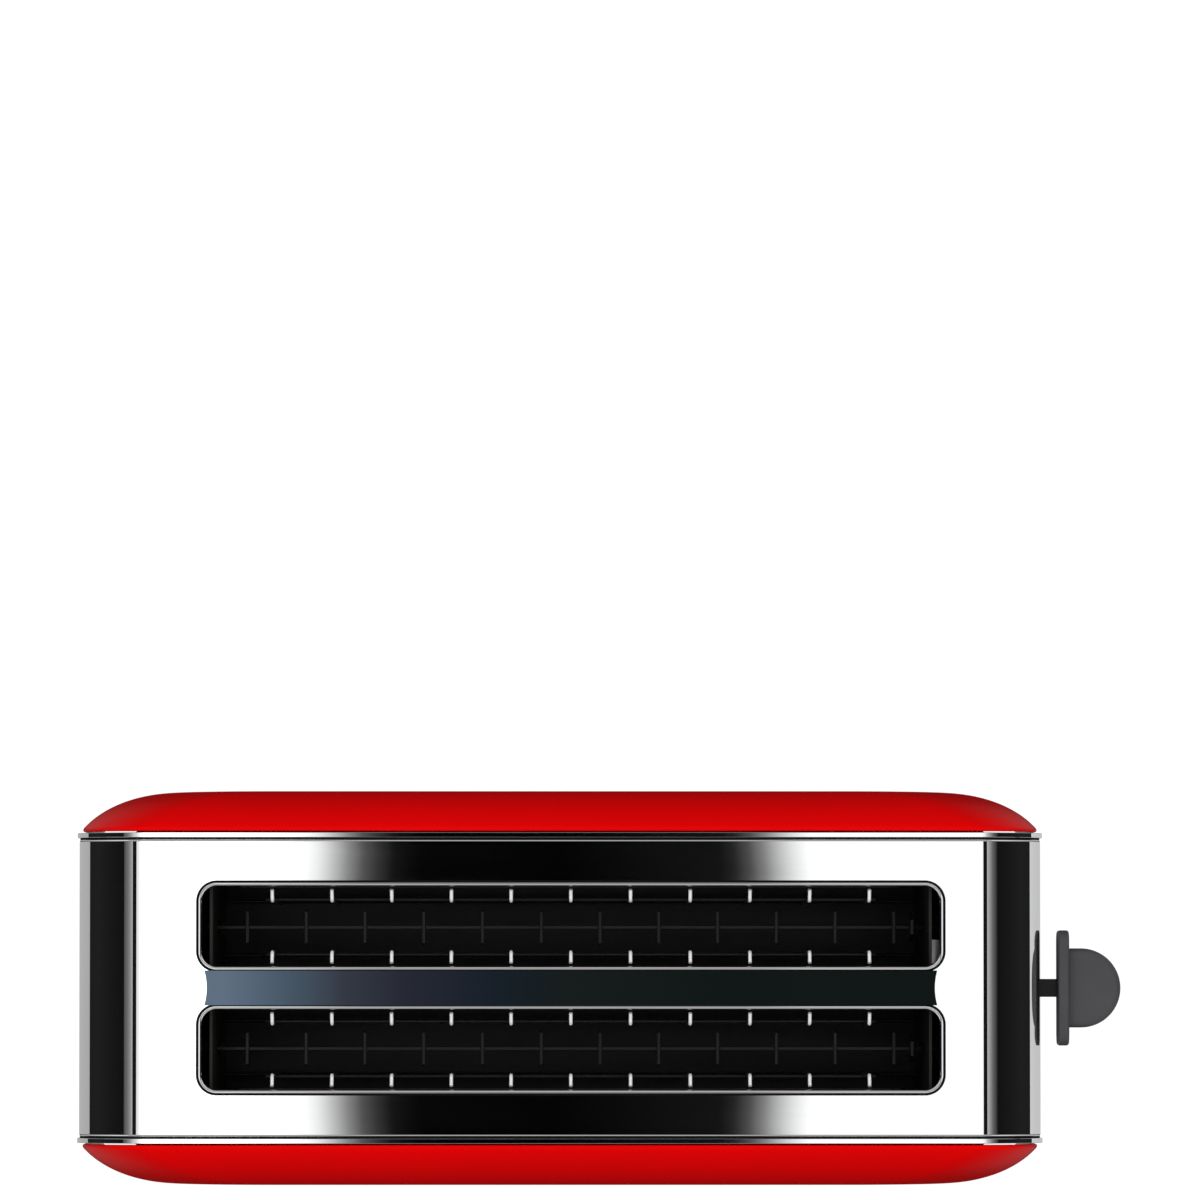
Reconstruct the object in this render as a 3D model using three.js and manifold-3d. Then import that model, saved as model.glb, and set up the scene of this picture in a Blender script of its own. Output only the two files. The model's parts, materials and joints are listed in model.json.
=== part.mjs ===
// A long-slot pop-up toaster: a polished steel wrap between two domed enamelled panels, on a moulded base.
// Two long slots hold self-centring bread guards, which close as the lever lowers the bread carriage.
// Millimetres, +Z up, +X towards the lever, origin on the table under the middle of the whole toaster.
import * as THREE from "three";
import { mergeVertices } from "three/addons/utils/BufferGeometryUtils.js";
import Module from "manifold-3d";

const wasm = await Module();
wasm.setup();

// ---------------------------------------------------------------- Driving dimensions

const FIT = 0.3; // gap between fixed pieces that touch
const RUN = 0.6; // gap round pieces that slide or turn

const BODY_LENGTH = 400; // steel wrap, end to end
const BODY_HEIGHT = 190; // steel top above the table
const BEND_RADIUS = 28; // where the wrap turns down at each end
const STEEL = 1; // sheet of the wrap
const HEM_WIDTH = 2; // folded edge of the wrap, beside each side panel
const HEM_PROUD = 0.8;
const HEM_DEPTH = 5; // fold turned in behind each side panel's edge

const LEFT_BAY = 52; // from the wrap's left end to the slots
const LEVER_BAY = 43; // from the slots to the wrap's lever end
const SLOT_WIDTH = 33;
const SLOT_CORNER = 6;
const SLOT_RIM = 1.5; // rolled rim round each slot
const RIM_PROUD = 0.8;
const RIM_DEPTH = 6;
const SLOT_GAP = 15; // between the two rims
const SHOULDER = 20.8; // from a rim to the wrap's edge
const STRIP = 0.8; // thickness of the gloss strip between the slots
const STRIP_BOW = 3; // hollow in each end of the strip

const PANEL_BULGE = 17.1; // how far each side panel domes out
const PANEL_REACH = 40; // length of its rounding at each end
const PANEL_START = 0.466; // turn that the rounding already has at the seam, in radians
const PANEL_DROP = 34; // height of its rounding at the top
const PANEL_SOFTEN = 14; // growth of its top corners' radius towards the face
const PANEL_WALL = 1.2;
const PANEL_SETBACK = 0.4; // panel edge below the wrap's surface
const SEAM_GAP = 0.6;

const FOOT_HEIGHT = 6;
const FOOT_RADIUS = 11;
const FOOT_STEM = 3;
const FOOT_INSET = 40; // foot's middle from the wrap's end
const PLINTH = 11.7; // base wall that shows below the shells
const BASE_INSET = 7;
const BASE_WALL = 2;
const BASE_FLOOR = 2.5;
const RIM_OVERLAP = 6; // base wall that reaches up inside the shells
const VENT_PITCH = 20;
const SCREW_RADIUS = 1.9;
const SCREW_HEAD = 3.4;
const SCREW_ROOM = 5.6; // between a foot and a screw's head
const BOSS_RADIUS = 3.8;
const BOSS_HEIGHT = 32;
const LEAD_RADIUS = 3.3;
const GLAND_WALL = 1.7;
const GLAND_FLANGE = 0.6;
const GLAND_ROOM = 10.6; // between a screw boss and the cord gland

const TRAY_MARGIN = 10.5; // from the wrap's edge to each side of the tray
const TRAY_WALL = 0.8;
const TRAY_DEPTH = 7.5;
const TRAY_CORNER = 4;
const HANDLE_DEPTH = 6;
const SCOOP_WIDTH = 52;
const RAIL = 2;

const PLATE = 1.2; // chassis end plates
const PLATE_SETBACK = 4; // end plates stand this far inside the slots' ends
const REFLECTOR = 0.6;
const REFLECTOR_LEDGE = 6;
const RACK_WAY = 5; // notch in an end plate that a rack slides in
const WIRE = 1.5;
const WIRE_COUNT = 11;
const GUARD_RAILS = 2; // long wires of each guard, above its hinge wire
const GUARD_FLARE = 4.5; // outward bend at the top of each guard
const FLARE_HEIGHT = 3.5;
const PIVOT_Z = 38; // guard hinge line
const HEATER_ROOM = 8; // from a guard to its outer heater
const MICA = 1;
const RIBBON = 0.5;
const RIBBON_WIDTH = 2;
const RIBBON_RUNS = 9;
const RIBBON_MARGIN = 8;

const RACK_LOW = 46; // top of the lowered rack
const RACK_STRIP = 1.5;
const RACK_HEIGHT = 11;
const FIN_HEIGHT = 4;
const FIN_ROOM = 2.6; // from a rack's fins to the guards
const STOP_HEIGHT = 14; // upright at the lever end of each rack
const BRACKET = 1.5;
const SLIDER_HEIGHT = 20;
const ROD_RADIUS = 3;
const ROD_Y = 14;
const SPRING_WIRE = 0.7;
const SPRING_TURNS = 7;

const CONTROL_WIDTH = 50;
const CONTROL_RECESS = 0.4; // control panel's face behind the wrap's
const CONTROL_WALL = 2;
const CONTROL_SKIRT = 10;
const CONTROL_DROP = BEND_RADIUS; // control panel's top below the steel top
const CONTROL_FLANGE = 1.5; // lip of the control panel behind the sheet
const DIAL_RADIUS = 13;
const DIAL_LENGTH = 5.4;
const DIAL_GRIP = 2; // ridge across the dial's front
const SHAFT_RADIUS = 3;
const BUTTON_RADIUS = 0.09 * CONTROL_WIDTH;
const BUTTON_COLLAR = 1.5;
const BUTTON_GAP = 2; // between two buttons' collars
const BUTTON_PROUD = 2.4;
const BUTTON_TRAVEL = 1.8;
const ARM_WIDTH = 7.5;
const ARM_THICKNESS = 4;
const LEVER_MARGIN = 9; // raised lever below the control panel's top
const KNOB_STANDOFF = 7.9; // control panel's face to the knob's plate
const KNOB_PLATE = 4.6;
const KNOB_WIDTH = 48;
const KNOB_HEIGHT = 20;
const TONGUE_WIDTH = 33;
const TONGUE_STRAIGHT = 5.2;
const TONGUE_HEIGHT = 9;

const BOARD = 1.6;
const BOARD_SETBACK = CONTROL_SKIRT + 3; // control board behind the wrap's end
const BOARD_WIDTH = 56;
const SENSOR = 14;
const MAGNET_DEPTH = 13;

// ---------------------------------------------------------------- Derived places

const END = BODY_LENGTH / 2;
const SLOT_LEFT = -END + LEFT_BAY;
const SLOT_RIGHT = END - LEVER_BAY;
const SLOT_X = (SLOT_LEFT + SLOT_RIGHT) / 2;
const SLOT_PITCH = SLOT_WIDTH + 2 * SLOT_RIM + SLOT_GAP;
const SLOT_ROWS = { front: -SLOT_PITCH / 2, rear: SLOT_PITCH / 2 };
const ROWS = Object.values(SLOT_ROWS);
const BAND_HALF = SLOT_GAP / 2 + 2 * SLOT_RIM + SLOT_WIDTH + SHOULDER;
const SEAM_Y = BAND_HALF + SEAM_GAP;
const PANEL_Y = SEAM_Y + PANEL_BULGE;

const BASE_Z = FOOT_HEIGHT + FIT;
const FLOOR_Z = BASE_Z + BASE_FLOOR;
const SKIRT_Z = BASE_Z + PLINTH;
const BASE_TOP = SKIRT_Z + RIM_OVERLAP;
const TRAY_WIDTH = 2 * (BAND_HALF - TRAY_MARGIN);
const TRAY_Z = FLOOR_Z + RUN;
const TRAY_TOP = TRAY_Z + TRAY_DEPTH;
const TRAY_LEFT = -END + BASE_INSET + 0.5;
const TRAY_RIGHT = SLOT_RIGHT + 2;
const RAIL_TOP = TRAY_TOP + RUN;
const RAIL_Y = TRAY_WIDTH / 2 + RUN;
const FOOT_PLACE = [END - FOOT_INSET, BAND_HALF - 2.5];
const BOSS_PLACE = [
  FOOT_PLACE[0] - FOOT_RADIUS - SCREW_ROOM - SCREW_HEAD,
  PANEL_Y - BASE_INSET - BASE_WALL - RUN - BOSS_RADIUS,
];
const GLAND_RADIUS = LEAD_RADIUS + GLAND_WALL;
const GLAND_PLACE = [
  BOSS_RADIUS + GLAND_ROOM + GLAND_RADIUS + GLAND_FLANGE - BOSS_PLACE[0],
  (BASE_Z + SKIRT_Z) / 2,
];

const CHASSIS_HALF = (SLOT_RIGHT - SLOT_LEFT) / 2 - PLATE_SETBACK; // slots' middle to each end plate
const CHASSIS_Z = RAIL_TOP + FIT;
const CHASSIS_TOP = BODY_HEIGHT - RIM_DEPTH - 5;
const REFLECTOR_Y = BAND_HALF - 6;
const WIRE_PITCH = (2 * CHASSIS_HALF) / (WIRE_COUNT + 1);
const GUARD_TOP = BODY_HEIGHT - RIM_DEPTH - 1;
const GUARD_Y = SLOT_WIDTH / 2 - WIRE / 2 - RUN - GUARD_FLARE; // upright wires, from a slot's middle
const HINGE_Y = GUARD_Y + 0.6 * WIRE;
const HEATER_Y = SLOT_PITCH / 2 + GUARD_Y + HEATER_ROOM;
const HEATER_LOW = PIVOT_Z + 4;
const HEATER_HIGH = GUARD_TOP - 16;
const TAB_INSET = 20; // heater board's end tabs, from its top and bottom

const FACE_X = END - CONTROL_RECESS;
const CONTROL_LOW = BASE_TOP + 2;
const CONTROL_HIGH = BODY_HEIGHT - CONTROL_DROP;
const DIAL_Z = CONTROL_LOW + CONTROL_WIDTH / 2 - 5;
const DIAL_BORE = DIAL_LENGTH - DIAL_GRIP - 1.6;
const BUTTON_Z = DIAL_Z + DIAL_RADIUS + 8;
const BUTTON_PITCH = 2 * (BUTTON_RADIUS + BUTTON_COLLAR) + BUTTON_GAP;
const LEVER_LOW = BUTTON_Z + BUTTON_RADIUS + 1.5 + KNOB_HEIGHT / 2;
const LEVER_Z = CONTROL_HIGH - LEVER_MARGIN;
const LEVER_TRAVEL = LEVER_Z - LEVER_LOW;
const RACK_Z = RACK_LOW + LEVER_TRAVEL; // top of the raised rack

const PLATE_OUTER = SLOT_X + CHASSIS_HALF + PLATE;
const BRACKET_X = PLATE_OUTER + 6;
const BOARD_X = END - BOARD_SETBACK;
const BOARD_LOW = FLOOR_Z + 6;
const BOARD_HIGH = LEVER_LOW - ARM_THICKNESS / 2 - 5;
const SLIDER_LEFT = BRACKET_X + BRACKET + FIT;
const SLIDER_RIGHT = BOARD_X - 4;
const SLIDER_HALF = ROD_Y + 10;
const POLE = 0.175 * (SLIDER_RIGHT - SLIDER_LEFT);
const COIL_WALL = 0.12 * (SLIDER_RIGHT - SLIDER_LEFT);
const SLIDER_Z = LEVER_Z - SLIDER_HEIGHT / 2 - 4;
const ROD_X = (SLIDER_LEFT + SLIDER_RIGHT) / 2;
const STOP_Z = SLIDER_Z + SLIDER_HEIGHT + RUN; // underside of the rod's bracket, which stops the slider
const SPRING_Z = FLOOR_Z + RIM_OVERLAP + FIT;
const MAGNET_Y = -ROD_Y - 2;
const MAGNET_Z = SLIDER_Z - LEVER_TRAVEL - BRACKET - 2 * FIT;
const MAGNET_HEIGHT = 20;
const SENSOR_X = BOARD_X + BOARD + FIT;
const KNOB_X = FACE_X + KNOB_STANDOFF;
const KNOB_TIP = KNOB_X + KNOB_PLATE + TONGUE_STRAIGHT + TONGUE_WIDTH / 2;
const BODY_X = (END + HEM_PROUD - KNOB_TIP) / 2; // body's middle, with the whole toaster centred

// ---------------------------------------------------------------- Materials

const paint = (color, roughness, metalness = 0) =>
  new THREE.MeshStandardMaterial({ color, roughness, metalness });
const POLISHED = paint(0xd8dadb, 0.12, 1);
const ENAMEL = paint(0xc20606, 0.22);
const GLOSS_BLACK = paint(0x10151a, 0.1);
const BLACK_PLASTIC = paint(0x17181a, 0.45);
const KNOB_PLASTIC = paint(0x3c3d3f, 0.5);
const RUBBER = paint(0x1b1b1c, 0.85);
const ZINC = paint(0xa9adb0, 0.4, 1);
const WIRE_STEEL = paint(0xc9ccce, 0.25, 1);
const MICA_SHEET = paint(0xb7ab90, 0.6);
const NICHROME = paint(0x6c6259, 0.45, 1);
const COPPER = paint(0xb0663a, 0.35, 1);
const CIRCUIT = paint(0x1f6b3a, 0.5);
const TERMINAL = paint(0xe2ded2, 0.5);

// ---------------------------------------------------------------- Solid helpers

const MERGE = 1e-4;
const AXES = {
  x: [new THREE.Vector3(0, 1, 0), new THREE.Vector3(0, 0, 1), new THREE.Vector3(1, 0, 0)],
  y: [new THREE.Vector3(1, 0, 0), new THREE.Vector3(0, 0, 1), new THREE.Vector3(0, -1, 0)],
  z: [new THREE.Vector3(1, 0, 0), new THREE.Vector3(0, 1, 0), new THREE.Vector3(0, 0, 1)],
};

// A three.js geometry as a manifold solid.
function solid(geometry) {
  const bare = geometry.clone();
  bare.deleteAttribute("normal");
  bare.deleteAttribute("uv");
  const merged = mergeVertices(bare, MERGE);
  return new wasm.Manifold(
    new wasm.Mesh({
      numProp: 3,
      vertProperties: merged.attributes.position.array,
      triVerts: new Uint32Array(merged.index.array),
    }),
  );
}

function geometryOf(made) {
  const mesh = made.getMesh();
  const geometry = new THREE.BufferGeometry();
  geometry.setAttribute("position", new THREE.BufferAttribute(mesh.vertProperties, 3));
  geometry.setIndex(new THREE.BufferAttribute(mesh.triVerts, 1));
  geometry.computeVertexNormals();
  return geometry;
}

const join = (pieces) => pieces.reduce((a, b) => a.add(b));
const cut = (from, pieces) => pieces.reduce((a, b) => a.subtract(b), from);

function block(x0, x1, y0, y1, z0, z1) {
  const geometry = new THREE.BoxGeometry(x1 - x0, y1 - y0, z1 - z0);
  return solid(geometry.translate((x0 + x1) / 2, (y0 + y1) / 2, (z0 + z1) / 2));
}

// A shape drawn on the other two axes, in X, Y, Z order, and extruded along this one.
function prism(axis, shape, low, high, steps = 3) {
  const geometry = new THREE.ExtrudeGeometry(shape, {
    depth: high - low,
    bevelEnabled: false,
    curveSegments: steps,
  });
  const [across, up, along] = AXES[axis];
  geometry.applyMatrix4(new THREE.Matrix4().makeBasis(across, up, along));
  const start = along.clone().multiplyScalar(axis === "y" ? -high : low);
  return solid(geometry.translate(start.x, start.y, start.z));
}

// A round bar along an axis, from a point.
function bar(axis, x, y, z, radius, length, sides = 12) {
  const geometry = new THREE.CylinderGeometry(radius, radius, length, sides).translate(0, length / 2, 0);
  if (axis === "x") geometry.rotateZ(-Math.PI / 2);
  if (axis === "z") geometry.rotateX(Math.PI / 2);
  return solid(geometry.translate(x, y, z));
}

// A turned piece along an axis: [radius, height] pairs up from the axis and back to it.
function turned(axis, profile, sides) {
  const geometry = new THREE.LatheGeometry(
    profile.map(([radius, height]) => new THREE.Vector2(radius, height)),
    sides,
  );
  if (axis === "x") geometry.rotateZ(-Math.PI / 2);
  if (axis === "z") geometry.rotateX(Math.PI / 2);
  return solid(geometry);
}

function roundedRect(x0, x1, y0, y1, radius) {
  const shape = new THREE.Shape();
  shape.absarc(x1 - radius, y0 + radius, radius, -Math.PI / 2, 0);
  shape.absarc(x1 - radius, y1 - radius, radius, 0, Math.PI / 2);
  shape.absarc(x0 + radius, y1 - radius, radius, Math.PI / 2, Math.PI);
  shape.absarc(x0 + radius, y0 + radius, radius, Math.PI, 1.5 * Math.PI);
  shape.closePath();
  return shape;
}

function polygon(points) {
  return new THREE.Shape(points.map(([a, b]) => new THREE.Vector2(a, b)));
}

// A closed skin through rings of equal length, with flat caps on the first and last.
function loft(rings) {
  const count = rings[0].length;
  const flat = rings[0].map((p) => new THREE.Vector2(p.x, p.z));
  const index = [];
  for (let r = 0; r + 1 < rings.length; r++)
    for (let i = 0; i < count; i++) {
      const j = (i + 1) % count;
      const [a, b, c, d] = [r * count + i, r * count + j, (r + 1) * count + j, (r + 1) * count + i];
      index.push(a, b, c, a, c, d);
    }
  const caps = THREE.ShapeUtils.triangulateShape(flat, []);
  const last = (rings.length - 1) * count;
  for (const [a, b, c] of caps) index.push(c, b, a, last + a, last + b, last + c);
  const geometry = new THREE.BufferGeometry();
  const places = rings.flat().flatMap((p) => [p.x, p.y, p.z]);
  geometry.setAttribute("position", new THREE.Float32BufferAttribute(places, 3));
  geometry.setIndex(index);
  return solid(geometry);
}

// ---------------------------------------------------------------- Shells

// The wrap's section, over the top and down both ends: a sheet of some thickness lifted off the body.
function wrapSection(lift, thickness) {
  const outer = BEND_RADIUS + lift;
  const inner = outer - thickness;
  const bendX = END - BEND_RADIUS;
  const bendZ = BODY_HEIGHT - BEND_RADIUS;
  const shape = new THREE.Shape();
  shape.moveTo(bendX + outer, SKIRT_Z);
  shape.absarc(bendX, bendZ, outer, 0, Math.PI / 2);
  shape.absarc(-bendX, bendZ, outer, Math.PI / 2, Math.PI);
  shape.lineTo(-bendX - outer, SKIRT_Z);
  shape.lineTo(-bendX - inner, SKIRT_Z);
  shape.absarc(-bendX, bendZ, inner, Math.PI, Math.PI / 2, true);
  shape.absarc(bendX, bendZ, inner, Math.PI / 2, 0, true);
  shape.lineTo(bendX + inner, SKIRT_Z);
  shape.closePath();
  return shape;
}

function slotShape(y, grow) {
  const half = SLOT_WIDTH / 2 + grow;
  return roundedRect(SLOT_LEFT - grow, SLOT_RIGHT + grow, y - half, y + half, SLOT_CORNER + grow);
}

function controlShape(grow) {
  const half = CONTROL_WIDTH / 2 + grow;
  return roundedRect(-half, half, CONTROL_LOW - grow, CONTROL_HIGH + grow, half - 0.01);
}

function steelWrap() {
  const sheet = prism("y", wrapSection(0, STEEL), -BAND_HALF, BAND_HALF, 4);
  const hems = [-BAND_HALF, BAND_HALF - HEM_WIDTH].map((y) =>
    prism("y", wrapSection(HEM_PROUD, HEM_PROUD + HEM_DEPTH), y, y + HEM_WIDTH, 4),
  );
  const [rimLow, rimHigh] = [BODY_HEIGHT - RIM_DEPTH, BODY_HEIGHT + RIM_PROUD];
  const rims = ROWS.map((y) => prism("z", slotShape(y, SLOT_RIM), rimLow, rimHigh, 2));
  const slots = ROWS.map((y) => prism("z", slotShape(y, 0), rimLow - 1, rimHigh + 1, 2));
  const window = prism("x", controlShape(FIT), END - BEND_RADIUS / 2, END + HEM_PROUD + 1);
  const doorLeft = -END - HEM_PROUD - 1;
  const trayDoor = block(doorLeft, STEEL + 1 - END, -RAIL_Y, RAIL_Y, SKIRT_Z - 1, RAIL_TOP + FIT);
  return cut(join([sheet, ...hems, ...rims]), [...slots, window, trayDoor]);
}

// How far the rounding has drawn in, and how far out it has reached, at a turn: 0 at the seam, 1 on the face.
const drawnIn = (turn) => 1 - Math.cos(turn) / Math.cos(PANEL_START);
const reachedOut = (turn) => (Math.sin(turn) - Math.sin(PANEL_START)) / (1 - Math.sin(PANEL_START));
const roundingTurns = (steps) =>
  Array.from({ length: steps + 1 }, (_, i) => PANEL_START + (i / steps) * (Math.PI / 2 - PANEL_START));

// One ring of a domed side panel, at a turn.
function panelOutline(turn, skin, low) {
  const tuck = drawnIn(turn);
  const half = END - PANEL_SETBACK - skin - PANEL_REACH * tuck;
  const top = BODY_HEIGHT - PANEL_SETBACK - skin - PANEL_DROP * tuck;
  const corner = BEND_RADIUS - PANEL_SETBACK - skin + PANEL_SOFTEN * tuck;
  const shape = new THREE.Shape();
  shape.moveTo(-half, low);
  shape.lineTo(half, low);
  shape.absarc(half - corner, top - corner, corner, 0, Math.PI / 2);
  shape.absarc(corner - half, top - corner, corner, Math.PI / 2, Math.PI);
  return shape.getPoints(4);
}

// The dome from the seam out to its face, less a skin. The hollow starts some way behind the seam.
function dome(skin, behind, low, layers) {
  const bulge = PANEL_BULGE - skin;
  const ring = (turn, out) =>
    panelOutline(turn, skin, low).map((p) => new THREE.Vector3(p.x, SEAM_Y + out, p.y));
  const rings = roundingTurns(layers).map((turn) => ring(turn, bulge * reachedOut(turn)));
  if (behind > 0) rings.unshift(ring(PANEL_START, -behind));
  return loft(rings.reverse());
}

// A screw boss inside a side panel, held to the panel's face by a web.
function panelBoss(x) {
  const y = BOSS_PLACE[1];
  const top = FLOOR_Z + BOSS_HEIGHT;
  const post = bar("z", x, y, FLOOR_Z + FIT, BOSS_RADIUS, BOSS_HEIGHT - FIT);
  const web = block(x - 1, x + 1, y, PANEL_Y - PANEL_WALL / 2, BASE_TOP + RUN, top);
  return cut(post.add(web), [bar("z", x, y, FLOOR_Z - 1, SCREW_RADIUS + FIT, 16)]);
}

// The rear panel. The front one is the same, turned half round.
function sidePanel() {
  const shell = cut(dome(0, 0, SKIRT_Z, 7), [dome(PANEL_WALL, 2, SKIRT_Z - 5, 6)]);
  return join([shell, ...[-1, 1].map((end) => panelBoss(end * BOSS_PLACE[0]))]);
}

function centreStrip() {
  const half = SLOT_GAP / 2 - FIT;
  const [left, right] = [SLOT_LEFT + 1, SLOT_RIGHT - 1];
  const shape = new THREE.Shape();
  shape.moveTo(left, -half);
  shape.lineTo(right, -half);
  shape.quadraticCurveTo(right - 2 * STRIP_BOW, 0, right, half);
  shape.lineTo(left, half);
  shape.quadraticCurveTo(left + 2 * STRIP_BOW, 0, left, -half);
  return prism("z", shape, 0, STRIP, 6);
}

// ---------------------------------------------------------------- Base, feet and crumb tray

// The base's outline from above, drawn in from the toaster's by some distance.
function planShape(inset) {
  const corner = roundingTurns(6).map((turn) => [
    END - inset - PANEL_REACH * drawnIn(turn),
    SEAM_Y - inset + PANEL_BULGE * reachedOut(turn),
  ]);
  const end = [...corner.map(([x, y]) => [x, -y]).reverse(), ...corner];
  return polygon([...end, ...end.map(([x, y]) => [-x, -y])]);
}

// The four places of one corner place, as name number, x and y.
function corners([x, y]) {
  const signs = [-1, 1].flatMap((rear) => [-1, 1].map((right) => [right, rear]));
  return signs.map(([right, rear], i) => [i + 1, right * x, rear * y]);
}

function baseVents() {
  const count = 2 * Math.floor((BOSS_PLACE[0] - VENT_PITCH) / VENT_PITCH) + 1;
  const places = Array.from({ length: count }, (_, i) => (i - (count - 1) / 2) * VENT_PITCH);
  return [-1, 1].flatMap((side) =>
    places.map((x) => {
      const y = side * (SEAM_Y - 5);
      return block(x - 1.6, x + 1.6, y - 4.5, y + 4.5, BASE_Z - 1, FLOOR_Z + 1);
    }),
  );
}

function boardPost(y) {
  const post = block(BOARD_X - 3, BOARD_X + BOARD + 3, y - 2, y + 2, FLOOR_Z - 1, BASE_TOP);
  const slot = block(BOARD_X - FIT, BOARD_X + BOARD + FIT, y - 3, y + 3, BOARD_LOW - FIT, BASE_TOP + 1);
  return cut(post, [slot]);
}

function base() {
  const tub = cut(prism("z", planShape(BASE_INSET), BASE_Z, BASE_TOP), [
    prism("z", planShape(BASE_INSET + BASE_WALL), FLOOR_Z, BASE_TOP + 1),
  ]);
  const rails = [-RAIL_Y - RAIL, RAIL_Y].map((y) =>
    block(-END + BASE_INSET + 0.5, SLOT_RIGHT + 3, y, y + RAIL, FLOOR_Z - 1, RAIL_TOP),
  );
  const rodBoss = bar("z", ROD_X, ROD_Y, FLOOR_Z - 1, ROD_RADIUS + 3, RIM_OVERLAP + 1);
  const holes = [
    block(-END, -END + BASE_INSET + BASE_WALL + 1, -RAIL_Y, RAIL_Y, FLOOR_Z, BASE_TOP + 1),
    bar("z", ROD_X, ROD_Y, FLOOR_Z, ROD_RADIUS + FIT, RIM_OVERLAP + 1),
    bar("y", GLAND_PLACE[0], BAND_HALF, GLAND_PLACE[1], GLAND_RADIUS + FIT, PANEL_BULGE, 16),
    ...corners(FOOT_PLACE).map(([, x, y]) => bar("z", x, y, BASE_Z - 1, FOOT_STEM + FIT, BASE_FLOOR + 2)),
    ...corners(BOSS_PLACE).map(([, x, y]) => bar("z", x, y, BASE_Z - 1, SCREW_RADIUS + FIT, BASE_FLOOR + 2)),
    ...baseVents(),
  ];
  return cut(join([tub, ...rails, rodBoss, ...[-20, 20].map(boardPost)]), holes);
}

function foot() {
  const profile = [
    [0, 0],
    [FOOT_RADIUS - 1.5, 0],
    [FOOT_RADIUS - 0.5, 1],
    [FOOT_RADIUS, FOOT_HEIGHT],
    [FOOT_STEM, FOOT_HEIGHT],
    [FOOT_STEM, FLOOR_Z + 1],
    [0, FLOOR_Z + 1],
  ];
  return turned("z", profile, 16);
}

// A cross-head screw, from the middle of the underside that its head bears on.
function baseScrew() {
  const profile = [
    [0, -2],
    [SCREW_HEAD - 0.6, -2],
    [SCREW_HEAD, -1.4],
    [SCREW_HEAD, 0],
    [SCREW_RADIUS, 0],
    [SCREW_RADIUS, 13],
    [0, 14],
  ];
  const cross = [block(-2, 2, -0.4, 0.4, -3, -1.2), block(-0.4, 0.4, -2, 2, -3, -1.2)];
  return cut(turned("z", profile, 12), cross);
}

// The sleeve that the cord would leave through, along Y from the base wall's outer face.
function cordGland() {
  const outer = BASE_INSET - PANEL_WALL - RUN;
  const sleeve = bar("y", 0, -BASE_WALL - 3, 0, GLAND_RADIUS, BASE_WALL + 3 + outer, 16);
  const flange = bar("y", 0, FIT, 0, GLAND_RADIUS + GLAND_FLANGE, 1.6, 16);
  return cut(sleeve.add(flange), [bar("y", 0, -BASE_WALL - 4, 0, LEAD_RADIUS, PANEL_BULGE, 16)]);
}

function crumbTray() {
  const half = TRAY_WIDTH / 2;
  const inner = half - TRAY_WALL;
  const outline = roundedRect(TRAY_LEFT, TRAY_RIGHT, -half, half, TRAY_CORNER);
  const [left, right] = [TRAY_LEFT + TRAY_WALL, TRAY_RIGHT - TRAY_WALL];
  const hollow = roundedRect(left, right, -inner, inner, TRAY_CORNER - TRAY_WALL);
  return cut(prism("z", outline, 0, TRAY_DEPTH, 2), [prism("z", hollow, TRAY_WALL, TRAY_DEPTH + 1, 2)]);
}

// The tray's plastic front, with a finger scoop along its underside.
function trayHandle() {
  const half = RAIL_Y - RUN;
  const inner = TRAY_LEFT - FIT;
  const [left, low] = [inner - HANDLE_DEPTH, FLOOR_Z + RUN];
  const front = prism("z", roundedRect(left, inner, -half, half, 2), low, TRAY_TOP, 2);
  const scoop = roundedRect(-SCOOP_WIDTH / 2, SCOOP_WIDTH / 2, low - 6, low + 4, 3);
  return cut(front, [prism("x", scoop, left - 1, inner - 2, 2)]);
}

// ---------------------------------------------------------------- Chassis and heaters

// One chassis end plate, between its inner face at 0 and its outer face.
function endPlate() {
  const half = REFLECTOR_Y + 2;
  const through = (y, width, low, high) => block(-1, PLATE + 1, y - width / 2, y + width / 2, low, high);
  const rackWays = ROWS.map((y) => through(y, RACK_WAY, RACK_LOW - RACK_HEIGHT - 2, RACK_Z + 2));
  const tabs = [-HEATER_Y, 0, HEATER_Y].map((y) =>
    through(y, MICA + 2 * FIT, HEATER_LOW + TAB_INSET - FIT, HEATER_HIGH - TAB_INSET + FIT),
  );
  const hinges = ROWS.flatMap((y) =>
    [-HINGE_Y, HINGE_Y].map((offset) => bar("x", -1, y + offset, PIVOT_Z, WIRE / 2 + RUN, PLATE + 2, 8)),
  );
  return cut(block(0, PLATE, -half, half, CHASSIS_Z, CHASSIS_TOP), [...rackWays, ...tabs, ...hinges]);
}

// The rear reflector: an upright sheet with a ledge turned in over the heater.
function reflector() {
  const half = CHASSIS_HALF - FIT;
  const sheet = block(-half, half, REFLECTOR_Y, REFLECTOR_Y + REFLECTOR, CHASSIS_Z, CHASSIS_TOP);
  const ledgeY = REFLECTOR_Y - REFLECTOR_LEDGE;
  return sheet.add(block(-half, half, ledgeY, REFLECTOR_Y + REFLECTOR, CHASSIS_TOP - REFLECTOR, CHASSIS_TOP));
}

function heaterBoard() {
  const half = CHASSIS_HALF - RUN;
  const tabHalf = CHASSIS_HALF + PLATE + 1.5;
  const slab = (reach, low, high) => block(-reach, reach, -MICA / 2, MICA / 2, low, high);
  const tabs = slab(tabHalf, HEATER_LOW + TAB_INSET, HEATER_HIGH - TAB_INSET);
  return slab(half, HEATER_LOW, HEATER_HIGH).add(tabs);
}

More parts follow.
